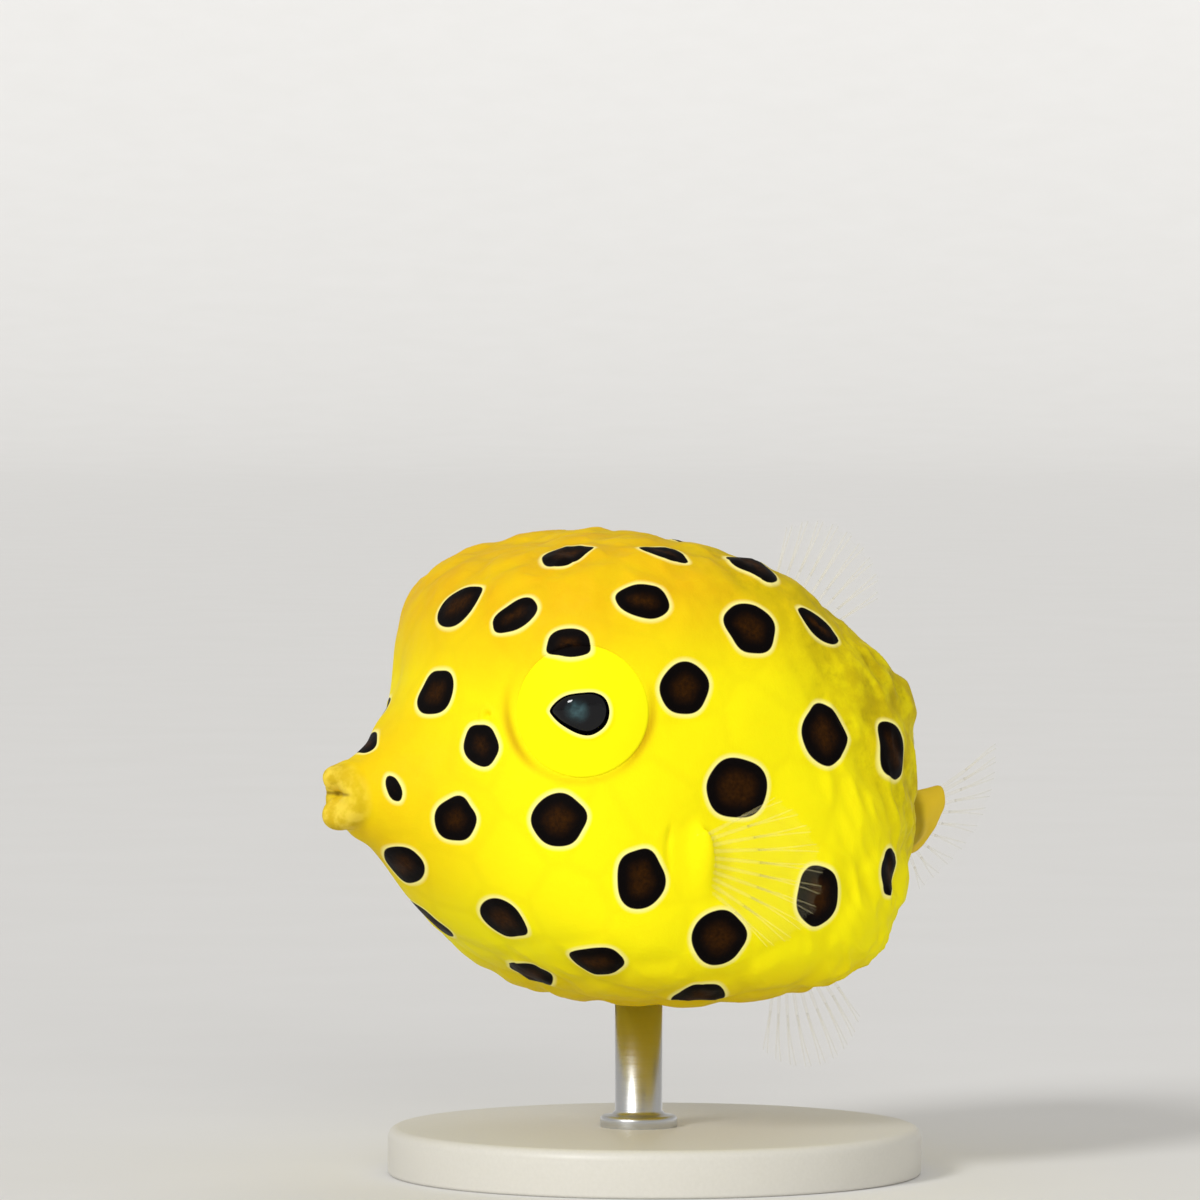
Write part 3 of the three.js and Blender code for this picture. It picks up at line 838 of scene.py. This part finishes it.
def make_skin(view):
    """One skin for head, trunk, tail stalk and lips, with the spots as a distance on its points."""
    random = np.random.default_rng(11)
    points, quads = surface_net(skin_form, *SKIN_BOX, SKIN_CELL)
    points = drawn_onto(skin_form, points)
    points = relaxed(skin_form, points, quads, 3)
    normals = vertex_normals(points, quads)
    shown = [photo_spot(view, spot, random) for spot in SPOTS]
    spots = hidden_spots(view, shown, points, normals, random)
    seeds = plate_seeds(points, spots, random)
    spot = spot_distance(spots, points, normals)
    raised = points + normals * skin_relief(points, seeds, view)[:, None]
    x, z = points[:, 0], points[:, 2]
    stalk = smoothstep(x, 7.6, 8.6) * (1 - smoothstep(stalk_form(points), 0.15, 0.6))
    warm = np.maximum(smoothstep(z - 0.15 * x, 2.6, 7.4), 0.7 * smoothstep(-x, 7.0, 10.5))
    warm += 0.7 * smoothstep(-z, 5.5, 8.0)
    attributes = {
        "spot": spot,
        "warm": np.clip(warm, 0, 1),
        # Olive towards the rear and up its sloping back: partly its own colour, partly painted shade on
        # the slope that faces up and back
        "olive_and_shade": smoothstep(x + 0.8 * z, 2.4, 7.5) * (1 - stalk),
        "stalk": stalk,
        "stalk_end": smoothstep(x, 10.0, 10.5),
        # Painted shade in the groove round the stalk's root
        "groove": stalk_groove(points),
        # Painted shade in the hollows between the wrinkles
        "wrinkle_shade": smoothstep(wrinkle_hollows(points), 0.1, 0.6),
        "lip": smoothstep(0.35 - lips_form(points), 0.0, 0.4),
        # Darker gold in the crease round each eye: partly its own colour, partly painted shade
        "crease": socket_crease(points),
        # slit and mouth place painted shade along the line of the closed mouth
        "slit": z - MOUTH_LINE["z"],
        "mouth": (1 - smoothstep(np.abs(points[:, 1]), 0.7, 1.05)) * smoothstep(-x, 10.8, 11.2),
        "seam": seam_distance(points, seeds),
    }
    skin = make_mesh("skin", raised, quads, attributes)
    skin.data.materials.append(skin_material())
    ride(skin, "skin", "head", "trunk", "tail_stalk", "lip_upper", "lip_lower")
    return spots


# The pupil's rim in the eye's own plane, as (back, up) from its point at the mouth side and over the top
PUPIL_RIM = [
    (-1.0, 0.05),
    (-0.77, 0.33),
    (-0.42, 0.53),
    (0.08, 0.61),
    (0.5, 0.61),
    (0.82, 0.43),
    (0.96, 0.06),
    (0.9, -0.33),
    (0.68, -0.61),
    (0.32, -0.78),
    (-0.1, -0.71),
    (-0.62, -0.42),
    (-0.91, -0.15),
]
PUPIL_RIM_POINTS = 130
# A faint blue-green glint deep in the lens, a reflection painted into its colour: where it is in the
# eye's plane, and its radius
GLINT = (-0.08, 0.02, 0.5)


def closed_curve(corners, count):
    """A smooth closed line through corners, as points at even shares of its angle."""
    corners = np.array(corners, float)
    out = []
    n = len(corners)
    for i in range(n):
        a, b, c, d = (corners[(i + k) % n] for k in (-1, 0, 1, 2))
        for t in np.linspace(0, 1, count // n, endpoint=False):
            square = (2 * a - 5 * b + 4 * c - d) * t**2
            cube = (3 * b - a - 3 * c + d) * t**3
            out.append(0.5 * (2 * b + (c - a) * t + square + cube))
    return np.array(out)


def eye_surface(flat, side):
    """Points of the eye's domed face from (back, up) in its plane: it bulges from the plain skin."""
    at, back, up, out = eye_frame(side)
    base = at + flat[:, :1] * back + flat[:, 1:] * up
    height = np.zeros(len(flat))
    step = 0.01
    nudge = step * out
    for _ in range(8):
        p = base + height[:, None] * out
        rate = (body_form(p + nudge) - body_form(p - nudge)) / (2 * step)
        height = height - body_form(p) / np.maximum(rate, 0.2)
    height += EYE_BULGE * (1 - (flat**2).sum(1) / EYE_RADIUS**2)
    return base + height[:, None] * out


def rings_to_faces(rings, sides):
    faces = []
    for r in range(rings - 1):
        for k in range(sides):
            a, b = r * sides + k, r * sides + (k + 1) % sides
            faces.append((a, b, b + sides, a + sides))
    return faces


def capped_faces(rings, sides):
    """Faces round rings of points and to a middle point at each end, which are the last two points."""
    faces = rings_to_faces(rings, sides)
    last = (rings - 1) * sides
    first_cap, last_cap = rings * sides, rings * sides + 1
    for k in range(sides):
        faces.append(((k + 1) % sides, k, first_cap))
        faces.append((last + k, last + (k + 1) % sides, last_cap))
    return faces


def facing_out(faces, side):
    """The same faces, turned round on the right side, whose points are mirrored."""
    return faces if side == SIDES["left"] else [face[::-1] for face in faces]


def make_iris(name, side, spots):
    """The yellow disc of one eye, from the lip round its opening to a rim sunk in the skin."""
    out = eye_frame(side)[3]
    opening_depth, rim_depth = 0.35, 0.25
    rim = closed_curve(PUPIL_RIM, PUPIL_RIM_POINTS)
    angle = np.arctan2(rim[:, 1] + 0.08, rim[:, 0])
    edge = EYE_RADIUS * np.stack([np.cos(angle), np.sin(angle)], 1)
    sides = len(rim)
    rings = [eye_surface(rim, side) - opening_depth * out]
    gaps = [np.zeros(sides)]
    for share in np.linspace(0, 1, 34) ** 1.2:
        flat = rim * (1 - share) + edge * share
        gap = np.linalg.norm(flat - rim, axis=1)
        lip = 0.04 * bell(gap - 0.1, 0.09)
        rings.append(eye_surface(flat, side) + lip[:, None] * out)
        gaps.append(gap)
    rings.append(eye_surface(edge * 1.02, side) - rim_depth * out)
    gaps.append(gaps[-1])
    points = np.concatenate(rings)
    faces = facing_out(rings_to_faces(len(rings), sides), side)
    normals = np.repeat(out[None], len(points), 0)
    attributes = {"rim": np.concatenate(gaps), "spot": spot_distance(spots, points, normals)}
    iris = make_mesh(f"iris_{name}", points, faces, attributes)
    iris.data.materials.append(iris_material())
    ride(iris, "iris", f"eye_{name}")


def make_lens(name, side):
    """The dark glossy lens that fills one eye's opening, fuller towards the mouth."""
    out = eye_frame(side)[3]
    rim = closed_curve(PUPIL_RIM, PUPIL_RIM_POINTS)
    middle = rim.mean(0)
    sides = len(rim)
    rings = []
    for share in np.linspace(1, 0.02, 20):
        flat = middle + (rim - middle) * share * 1.02
        dome = 0.12 * (1 - share**2) * (1 - 0.5 * flat[:, 0]) - 0.03 * flat[:, 0] + 0.09 * flat[:, 1]
        sunk = 0.02 + 0.12 * share**8
        rings.append(eye_surface(flat, side) + (dome - sunk)[:, None] * out)
    points = np.concatenate([*rings, rings[-1].mean(0)[None]])
    faces = rings_to_faces(len(rings), sides)
    last = (len(rings) - 1) * sides
    faces += [(last + k, last + (k + 1) % sides, len(points) - 1) for k in range(sides)]
    at, back, up, _ = eye_frame(side)
    off = np.stack([(points - at) @ back - GLINT[0], (points - at) @ up - GLINT[1]], 1)
    attributes = {"glint": 1 - np.linalg.norm(off, axis=1) / GLINT[2]}
    lens = make_mesh(f"lens_{name}", points, facing_out(faces, side), attributes)
    lens.data.materials.append(lens_material())
    ride(lens, "pupil", f"pupil_{name}")


def tube(path, radii, sides=6):
    """Points and faces of a closed tube along a path, with a radius at each of its points."""
    path = np.array(path)
    ahead = normalised(np.gradient(path, axis=0))
    side = normalised(np.cross(ahead, [0.31, 0.2, 0.93]))
    up = np.cross(ahead, side)
    turns = np.linspace(0, 2 * math.pi, sides, endpoint=False)
    circle = np.cos(turns)[None, :, None] * side[:, None] + np.sin(turns)[None, :, None] * up[:, None]
    rings = path[:, None] + np.asarray(radii)[:, None, None] * circle
    return np.concatenate([*rings, path[:1], path[-1:]]), capped_faces(len(path), sides)


def joined(parts):
    points, faces = [], []
    for part_points, part_faces in parts:
        start = sum(len(p) for p in points)
        points.append(part_points)
        faces += [tuple(i + start for i in f) for f in part_faces]
    return np.concatenate(points), faces


def fin_surface(name):
    """A function that gives the fin's middle surface at t across, -1 to 1, and s along, 0 to 1."""
    size = FINS[name]
    at, along, out, face = fin_place(name)
    root_depth = 0.25

    def point(t, s):
        angle = math.radians(size["spread"]) * t / 2
        reach = size["length"] * (1 - size["rounding"] * t * t)
        distance = s * reach - root_depth
        fanned = max(0.0, distance)
        wave = 0.1 * math.sin(3.1 * t + 5 * s) * s
        return (
            at
            + along * (t * size["root"] / 2 + fanned * math.sin(angle))
            + out * (min(0.0, distance) + fanned * math.cos(angle))
            + face * (size["cup"] * s * s * (1 - 0.5 * t * t) + wave)
        )

    return point, face


def grid_slab(columns, rows):
    """Faces of a closed slab from two grids of points, front and back, with its edge."""
    stride = rows + 1
    count = (columns + 1) * stride
    faces = []
    for i in range(columns):
        for j in range(rows):
            a, b = i * stride + j, (i + 1) * stride + j
            faces.append((a, b, b + 1, a + 1))
            faces.append((count + a, count + a + 1, count + b + 1, count + b))
    rim = [i * stride for i in range(columns)] + [columns * stride + j for j in range(rows)]
    rim += [i * stride + rows for i in range(columns, 0, -1)] + [j for j in range(rows, 0, -1)]
    for a, b in zip(rim, rim[1:] + rim[:1]):
        faces.append((b, a, count + a, count + b))
    return faces


def membrane_points(name):
    """A fin's clear membrane, a thin slab whose edge is scalloped between the rays."""
    surface, face = fin_surface(name)
    spaces = FINS[name]["rays"] - 1
    columns, rows = 6 * spaces, 26
    half_thickness, scallop = 0.022, 0.05
    grid = []
    for sign in (1, -1):
        for i in range(columns + 1):
            t = 2 * i / columns - 1
            between = abs(math.sin(math.pi * (t + 1) / 2 * spaces))
            for j in range(rows + 1):
                s = j / rows * (1 - scallop * between)
                grid.append(surface(t, s) + face * sign * half_thickness)
    return np.array(grid), grid_slab(columns, rows)


def ray_points(name):
    """A fin's rays, which split in two before the edge."""
    surface, _ = fin_surface(name)
    spaces = FINS[name]["rays"] - 1
    split, end = 0.5, 0.985
    spread = 0.378 / spaces
    parts = []
    for i in range(spaces + 1):
        t = 2 * i / spaces - 1
        shares = np.linspace(0, split, 9)
        parts.append(tube([surface(t, s) for s in shares], 0.085 - 0.05 * shares))
        for fork in (-spread, spread):
            shares = np.linspace(split, end, 10)
            beyond = (shares - split) / (1 - split)
            path = [surface(t + fork * b, s) for s, b in zip(shares, beyond)]
            parts.append(tube(path, 0.05 - 0.032 * beyond))
    return joined(parts)


def make_fin(name, node, side=SIDES["left"]):
    """A fin's membrane and rays, mirrored on the right side."""
    mirror = np.array([1, side, 1])
    shapes = {"membrane": (membrane_points, membrane_material), "rays": (ray_points, ray_material)}
    for part, (shape, material) in shapes.items():
        points, faces = shape(name)
        piece = make_mesh(f"{node}_{part}", points * mirror, facing_out(faces, side))
        piece.data.materials.append(material())
        ride(piece, "fin", node)


def turned(profile, sides):
    """The points of rings round a vertical axis, from (radius, height) pairs."""
    turns = np.linspace(0, 2 * math.pi, sides, endpoint=False)
    circle = np.stack([np.cos(turns), np.sin(turns), 0 * turns], 1)
    return np.concatenate([circle * radius + [0, 0, height] for radius, height in profile])


def lathed(name, profile, sides, place):
    """A closed turned piece round a vertical axis through place."""
    points = np.concatenate([turned(profile, sides), [[0, 0, profile[0][1]]], [[0, 0, profile[-1][1]]]])
    return make_mesh(name, points + np.array(place) - HEART, capped_faces(len(profile), sides))


def rounded_corner(radius, height, bevel, start, steps=6):
    """The (radius, height) points of a round edge, as the outline turns through a right angle."""
    turns = np.radians(np.linspace(start, start + 90, steps))
    return [(radius + bevel * math.cos(a), height + bevel * math.sin(a)) for a in turns]


def make_stand():
    """The round base with its soft edges, and the rod that runs from it into the belly."""
    low, high = (np.array(c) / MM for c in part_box("stand_base"))
    radius, top, bevel, foot = high[0], high[2], 0.35, 0.12
    foot_edge = rounded_corner(radius - foot, foot, foot, -90)
    top_edge = rounded_corner(radius - bevel, top - bevel, bevel, 0)
    base = lathed("stand_disc", foot_edge + top_edge, 160, (0, 0, 0))
    base.data.materials.append(paint_material())
    ride(base, "stand_paint", "stand_base")
    low, high = (np.array(c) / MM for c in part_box("stand_rod"))
    rod_radius = (high[0] - low[0]) / 2
    place = ((low[0] + high[0]) / 2, 0, 0)
    collar = rod_radius + 0.5
    into_belly = 0.9
    profile = [(collar, top - 0.2)] + rounded_corner(collar - 0.15, top + 0.25, 0.15, 0)
    profile += [(rod_radius + 0.12, top + 0.42), (rod_radius, top + 0.55)]
    profile += [(rod_radius, high[2] + into_belly)]
    rod = lathed("stand_post", profile, 64, place)
    rod.data.materials.append(steel_material())
    ride(rod, "stand_steel", "stand_rod")


class Nodes:
    """Short ways to add and join shader nodes."""

    def __init__(self, name):
        self.material = bpy.data.materials.new(name)
        self.material.use_nodes = True
        self.tree = self.material.node_tree
        self.shader = self.tree.nodes["Principled BSDF"]

    def add(self, kind, inputs=None, **settings):
        node = self.tree.nodes.new(kind)
        for key, value in settings.items():
            setattr(node, key, value)
        for key, value in (inputs or {}).items():
            self.put(node.inputs[key], value)
        return node

    def put(self, socket, value):
        if isinstance(value, bpy.types.NodeSocket):
            self.tree.links.new(value, socket)
        elif isinstance(value, (tuple, list)) and len(value) == 3 and socket.type == "RGBA":
            socket.default_value = (*value, 1)
        else:
            socket.default_value = value

    def set(self, **values):
        for key, value in values.items():
            self.put(self.shader.inputs[key.replace("_", " ")], value)

    def attribute(self, name):
        return self.add("ShaderNodeAttribute", attribute_name=name).outputs["Fac"]

    def coordinates(self):
        return self.add("ShaderNodeTexCoord").outputs["Object"]

    def span(self, value, start, end, low=0.0, high=1.0):
        """A value that goes smoothly from low to high while the input goes from start to end."""
        inputs = {"Value": value, "From Min": start, "From Max": end, "To Min": low, "To Max": high}
        return self.add("ShaderNodeMapRange", inputs, interpolation_type="SMOOTHSTEP").outputs["Result"]

    def noise(self, size, detail=3.0, roughness=0.5):
        inputs = {"Vector": self.coordinates(), "Scale": 1 / (size * MM)}
        inputs |= {"Detail": detail, "Roughness": roughness}
        return self.add("ShaderNodeTexNoise", inputs).outputs["Fac"]

    def mix(self, share, a, b):
        node = self.add("ShaderNodeMix", data_type="RGBA")
        self.put(node.inputs[0], share)
        self.put(node.inputs[6], a)
        self.put(node.inputs[7], b)
        return node.outputs[2]

    def product(self, a, b):
        return self.math("MULTIPLY", a, b)

    def math(self, operation, a, b=0.0):
        node = self.add("ShaderNodeMath", operation=operation)
        self.put(node.inputs[0], a)
        self.put(node.inputs[1], b)
        return node.outputs[0]

    def bump(self, height, distance, strength=1.0, normal=None):
        inputs = {"Height": height, "Distance": distance * MM, "Strength": strength}
        node = self.add("ShaderNodeBump", inputs)
        if normal:
            self.put(node.inputs["Normal"], normal)
        return node.outputs["Normal"]


# Colours, as linear light
LEMON = (0.95, 0.84, 0.004)
GOLD = (0.76, 0.435, 0.006)
OLIVE_YELLOW = (0.57, 0.43, 0.004)
HOLLOW_SHADE_OLIVE = (0.34, 0.26, 0.004)
STALK_OLIVE_AND_SHADE = (0.35, 0.24, 0.006)
STALK_GOLD = (0.8, 0.56, 0.03)
GROOVE_SHADE_OLIVE = (0.2, 0.12, 0.004)
SOCKET_GOLD_AND_SHADE = (0.62, 0.36, 0.004)
CREAM = (0.81, 0.61, 0.075)
LIP_OLIVE = (0.56, 0.38, 0.02)
SLIT_SHADE_BROWN = (0.14, 0.07, 0.01)
HALO_CREAM = (1.0, 0.93, 0.35)
SPOT_RIM = (0.002, 0.001, 0.001)
SPOT_MIDDLE = (0.05, 0.016, 0.0005)
EYE_LEMON = (0.98, 0.93, 0.004)


def spot_coat(nodes, ground, spot):
    """Lays the dark spots and their pale rims over a ground colour."""
    pale = nodes.span(spot, HALO * 0.3, HALO * 1.9, 1.0, 0.0)
    dark = nodes.span(spot, -0.012, 0.03, 1.0, 0.0)
    middle = nodes.span(spot, -0.75, -0.2, 1.0, 0.0)
    speckle = nodes.noise(0.12, 2)
    inner = nodes.mix(nodes.product(middle, speckle), SPOT_RIM, SPOT_MIDDLE)
    colour = nodes.mix(nodes.product(pale, 0.75), ground, HALO_CREAM)
    return nodes.mix(dark, colour, inner)


def skin_material():
    """Layers of colour from the bottom up, each where its attribute is and as much as its share."""
    nodes = Nodes("boxfish_skin")
    mottle = nodes.noise(1.6, 4)
    patches = nodes.noise(0.9, 4, 0.6)
    grain = nodes.span(nodes.noise(0.4, 3, 0.6), 0.42, 0.72, 0.0, 0.4)
    # Painted shade, olive, in the wrinkles' hollows, patchy with the grain
    wrinkle_shade = nodes.product(nodes.attribute("wrinkle_shade"), nodes.math("ADD", grain, 0.15))
    # The stalk is darker olive up to its gold end: partly its own colour, partly painted shade towards
    # its root
    stalk = nodes.mix(nodes.span(mottle, 0.35, 0.75), STALK_OLIVE_AND_SHADE, OLIVE_YELLOW)
    stalk = nodes.mix(nodes.attribute("stalk_end"), stalk, STALK_GOLD)
    lips = nodes.mix(nodes.span(nodes.noise(0.5, 3), 0.4, 0.65), CREAM, LIP_OLIVE)
    # Painted shade along the mouth's slit, between the lips
    slit = nodes.span(nodes.math("ABSOLUTE", nodes.attribute("slit")), 0.0, 0.09, 0.65, 0.0)
    layers = [
        ("warm", nodes.span(mottle, 0.2, 0.8, 0.75, 1.0), GOLD),
        # Olive towards the rear and up the back slope: partly its own colour, partly painted shade
        ("olive_and_shade", nodes.span(patches, 0.3, 0.65, 0.4, 1.0), OLIVE_YELLOW),
        ("olive_and_shade", wrinkle_shade, HOLLOW_SHADE_OLIVE),
        ("stalk", 1.0, stalk),
        # Painted shade in the groove round the stalk's root
        ("groove", 0.8, GROOVE_SHADE_OLIVE),
        ("lip", 0.8, lips),
        ("mouth", slit, SLIT_SHADE_BROWN),
        # Darker gold in the eye's crease: partly its own colour, partly painted shade
        ("crease", 0.85, SOCKET_GOLD_AND_SHADE),
    ]
    ground = LEMON
    for attribute, share, colour in layers:
        ground = nodes.mix(nodes.product(nodes.attribute(attribute), share), ground, colour)
    ground = nodes.mix(nodes.span(nodes.attribute("seam"), 0.0, 0.3, 0.08, 0.0), ground, OLIVE_YELLOW)
    colour = spot_coat(nodes, ground, nodes.attribute("spot"))
    normal = nodes.bump(nodes.noise(0.35, 4, 0.6), 0.04, 0.3)
    normal = nodes.bump(nodes.noise(0.09, 3), 0.02, 0.25, normal)
    rough = nodes.span(nodes.noise(0.5, 3), 0.3, 0.7, 0.52, 0.64)
    nodes.set(Base_Color=colour, Roughness=rough, Normal=normal, Specular_IOR_Level=0.05)
    nodes.set(Subsurface_Weight=0.12, Subsurface_Scale=0.0004)
    nodes.shader.inputs["Subsurface Radius"].default_value = (1.0, 0.7, 0.1)
    return nodes.material


def iris_material():
    nodes = Nodes("boxfish_iris")
    rim = nodes.attribute("rim")
    ground = nodes.mix(nodes.span(nodes.noise(0.5, 3), 0.3, 0.7, 0.0, 0.1), EYE_LEMON, LEMON)
    ground = nodes.mix(nodes.span(rim, 0.02, 0.16, 0.8, 0.0), ground, HALO_CREAM)
    ground = nodes.mix(nodes.span(rim, 0.0, 0.012, 1.0, 0.0), ground, SPOT_RIM)
    colour = spot_coat(nodes, ground, nodes.attribute("spot"))
    nodes.set(Base_Color=colour, Roughness=0.6, Normal=nodes.bump(nodes.noise(0.2, 3), 0.02, 0.12))
    nodes.set(Specular_IOR_Level=0.04)
    return nodes.material


def lens_material():
    nodes = Nodes("boxfish_lens")
    # The glint is a painted reflection in the lens's colour
    middle = nodes.span(nodes.attribute("glint"), 0.0, 1.0)
    glint = nodes.product(middle, nodes.span(nodes.noise(0.3, 3), 0.3, 0.7, 0.3, 1.0))
    colour = nodes.mix(glint, (0.001, 0.001, 0.002), (0.05, 0.11, 0.12))
    nodes.set(Base_Color=colour, Roughness=0.03, Specular_IOR_Level=0.33)
    return nodes.material


def mottled(name, size, detail, *colours, **settings):
    """A plain material of two near colours, in soft patches of a size in millimetres."""
    nodes = Nodes(name)
    nodes.set(Base_Color=nodes.mix(nodes.noise(size, detail), *colours), **settings)
    return nodes.material


def membrane_material():
    colours = (0.9, 0.84, 0.42), (0.95, 0.92, 0.7)
    finish = {"Roughness": 0.4, "Alpha": 0.012, "Specular_IOR_Level": 0.05}
    return mottled("fin_membrane", 0.6, 3, *colours, **finish)


def ray_material():
    colours = (0.95, 0.82, 0.35), (1.0, 0.93, 0.6)
    finish = {"Roughness": 0.5, "Alpha": 0.065, "Specular_IOR_Level": 0.05}
    return mottled("fin_rays", 0.6, 2, *colours, **finish)


def paint_material():
    nodes = Nodes("satin_ivory_paint")
    fleck = nodes.noise(0.12, 4)
    colour = nodes.mix(fleck, (0.6, 0.58, 0.52), (0.66, 0.64, 0.58))
    nodes.set(Base_Color=colour, Roughness=nodes.span(fleck, 0.2, 0.8, 0.36, 0.5))
    nodes.set(Normal=nodes.bump(fleck, 0.02, 0.15), Specular_IOR_Level=0.5)
    return nodes.material


def steel_material():
    nodes = Nodes("brushed_steel")
    stretch = {"Vector": nodes.coordinates(), "Scale": (1, 1, 40)}
    grain = {"Vector": nodes.add("ShaderNodeMapping", stretch).outputs[0], "Scale": 900.0, "Detail": 3.0}
    brushed = nodes.add("ShaderNodeTexNoise", grain).outputs["Fac"]
    nodes.set(Base_Color=nodes.mix(brushed, (0.6, 0.61, 0.62), (0.68, 0.69, 0.7)), Metallic=1.0)
    rough = nodes.span(brushed, 0.3, 0.7, 0.28, 0.36)
    nodes.set(Roughness=rough, Normal=nodes.bump(brushed, 0.002, 0.15))
    return nodes.material


def floor_material():
    colours = (0.74, 0.735, 0.72), (0.77, 0.765, 0.755)
    return mottled("pale_floor", 9, 3, *colours, Roughness=0.8, Specular_IOR_Level=0.1)


def make_floor():
    """A round pale floor that turns up into a wall, far behind the fish on all sides."""
    flat, curve, steepest, sides = 1200, 900, 0.8, 96
    profile = [(flat * share, 0.0) for share in (0.001, 0.05, 0.2, 0.5)]
    for turn in np.linspace(0, steepest, 30):
        profile.append((flat + curve * math.sin(turn), curve * (1 - math.cos(turn))))
    faces = rings_to_faces(len(profile), sides) + [tuple(range(sides))]
    floor = make_mesh("floor", turned(profile, sides) - HEART, faces)
    floor.data.materials.append(floor_material())


def soft_sun(name, place, spread, strength, mirrored=True):
    """A far round light, from a place in the camera's own right, up and back directions. spread is how
    wide it looks in degrees. Where mirrored is False, glossy things don't show it."""
    right, up, back = view_axes()
    way = Vector(place[0] * right + place[1] * up + place[2] * back)
    data = bpy.data.lights.new(name, "SUN")
    data.angle = math.radians(spread)
    data.energy = strength
    light = add_object(name, data)
    light.location = way * MM
    light.visible_glossy = mirrored
    light.rotation_mode = "QUATERNION"
    light.rotation_quaternion = (-way).to_track_quat("-Z", "Y")


def make_light():
    world = bpy.data.worlds.new("studio")
    world.use_nodes = True
    sky = world.node_tree.nodes["Background"].inputs
    sky["Color"].default_value = (1.0, 0.98, 0.95, 1)
    sky["Strength"].default_value = 0.49
    bpy.context.scene.world = world
    soft_sun("key_light", place=(-125, 118, 170), spread=15, strength=1.6)
    soft_sun("fill_light", place=(30, 32, 190), spread=30, strength=1.3, mirrored=False)
    soft_sun("back_light", place=(60, 160, -120), spread=30, strength=0.25, mirrored=False)
    bpy.context.scene.view_settings.view_transform = "Standard"


camera = make_camera()
view = PhotoView(camera)
spots = make_skin(view)
for name, side in SIDES.items():
    make_iris(name, side, spots)
    make_lens(name, side)
for fin in ("dorsal_fin", "anal_fin", "caudal_fin"):
    make_fin(fin, fin)
for name, side in SIDES.items():
    make_fin("pectoral_fin", f"pectoral_fin_{name}", side)
make_stand()
make_floor()
make_light()
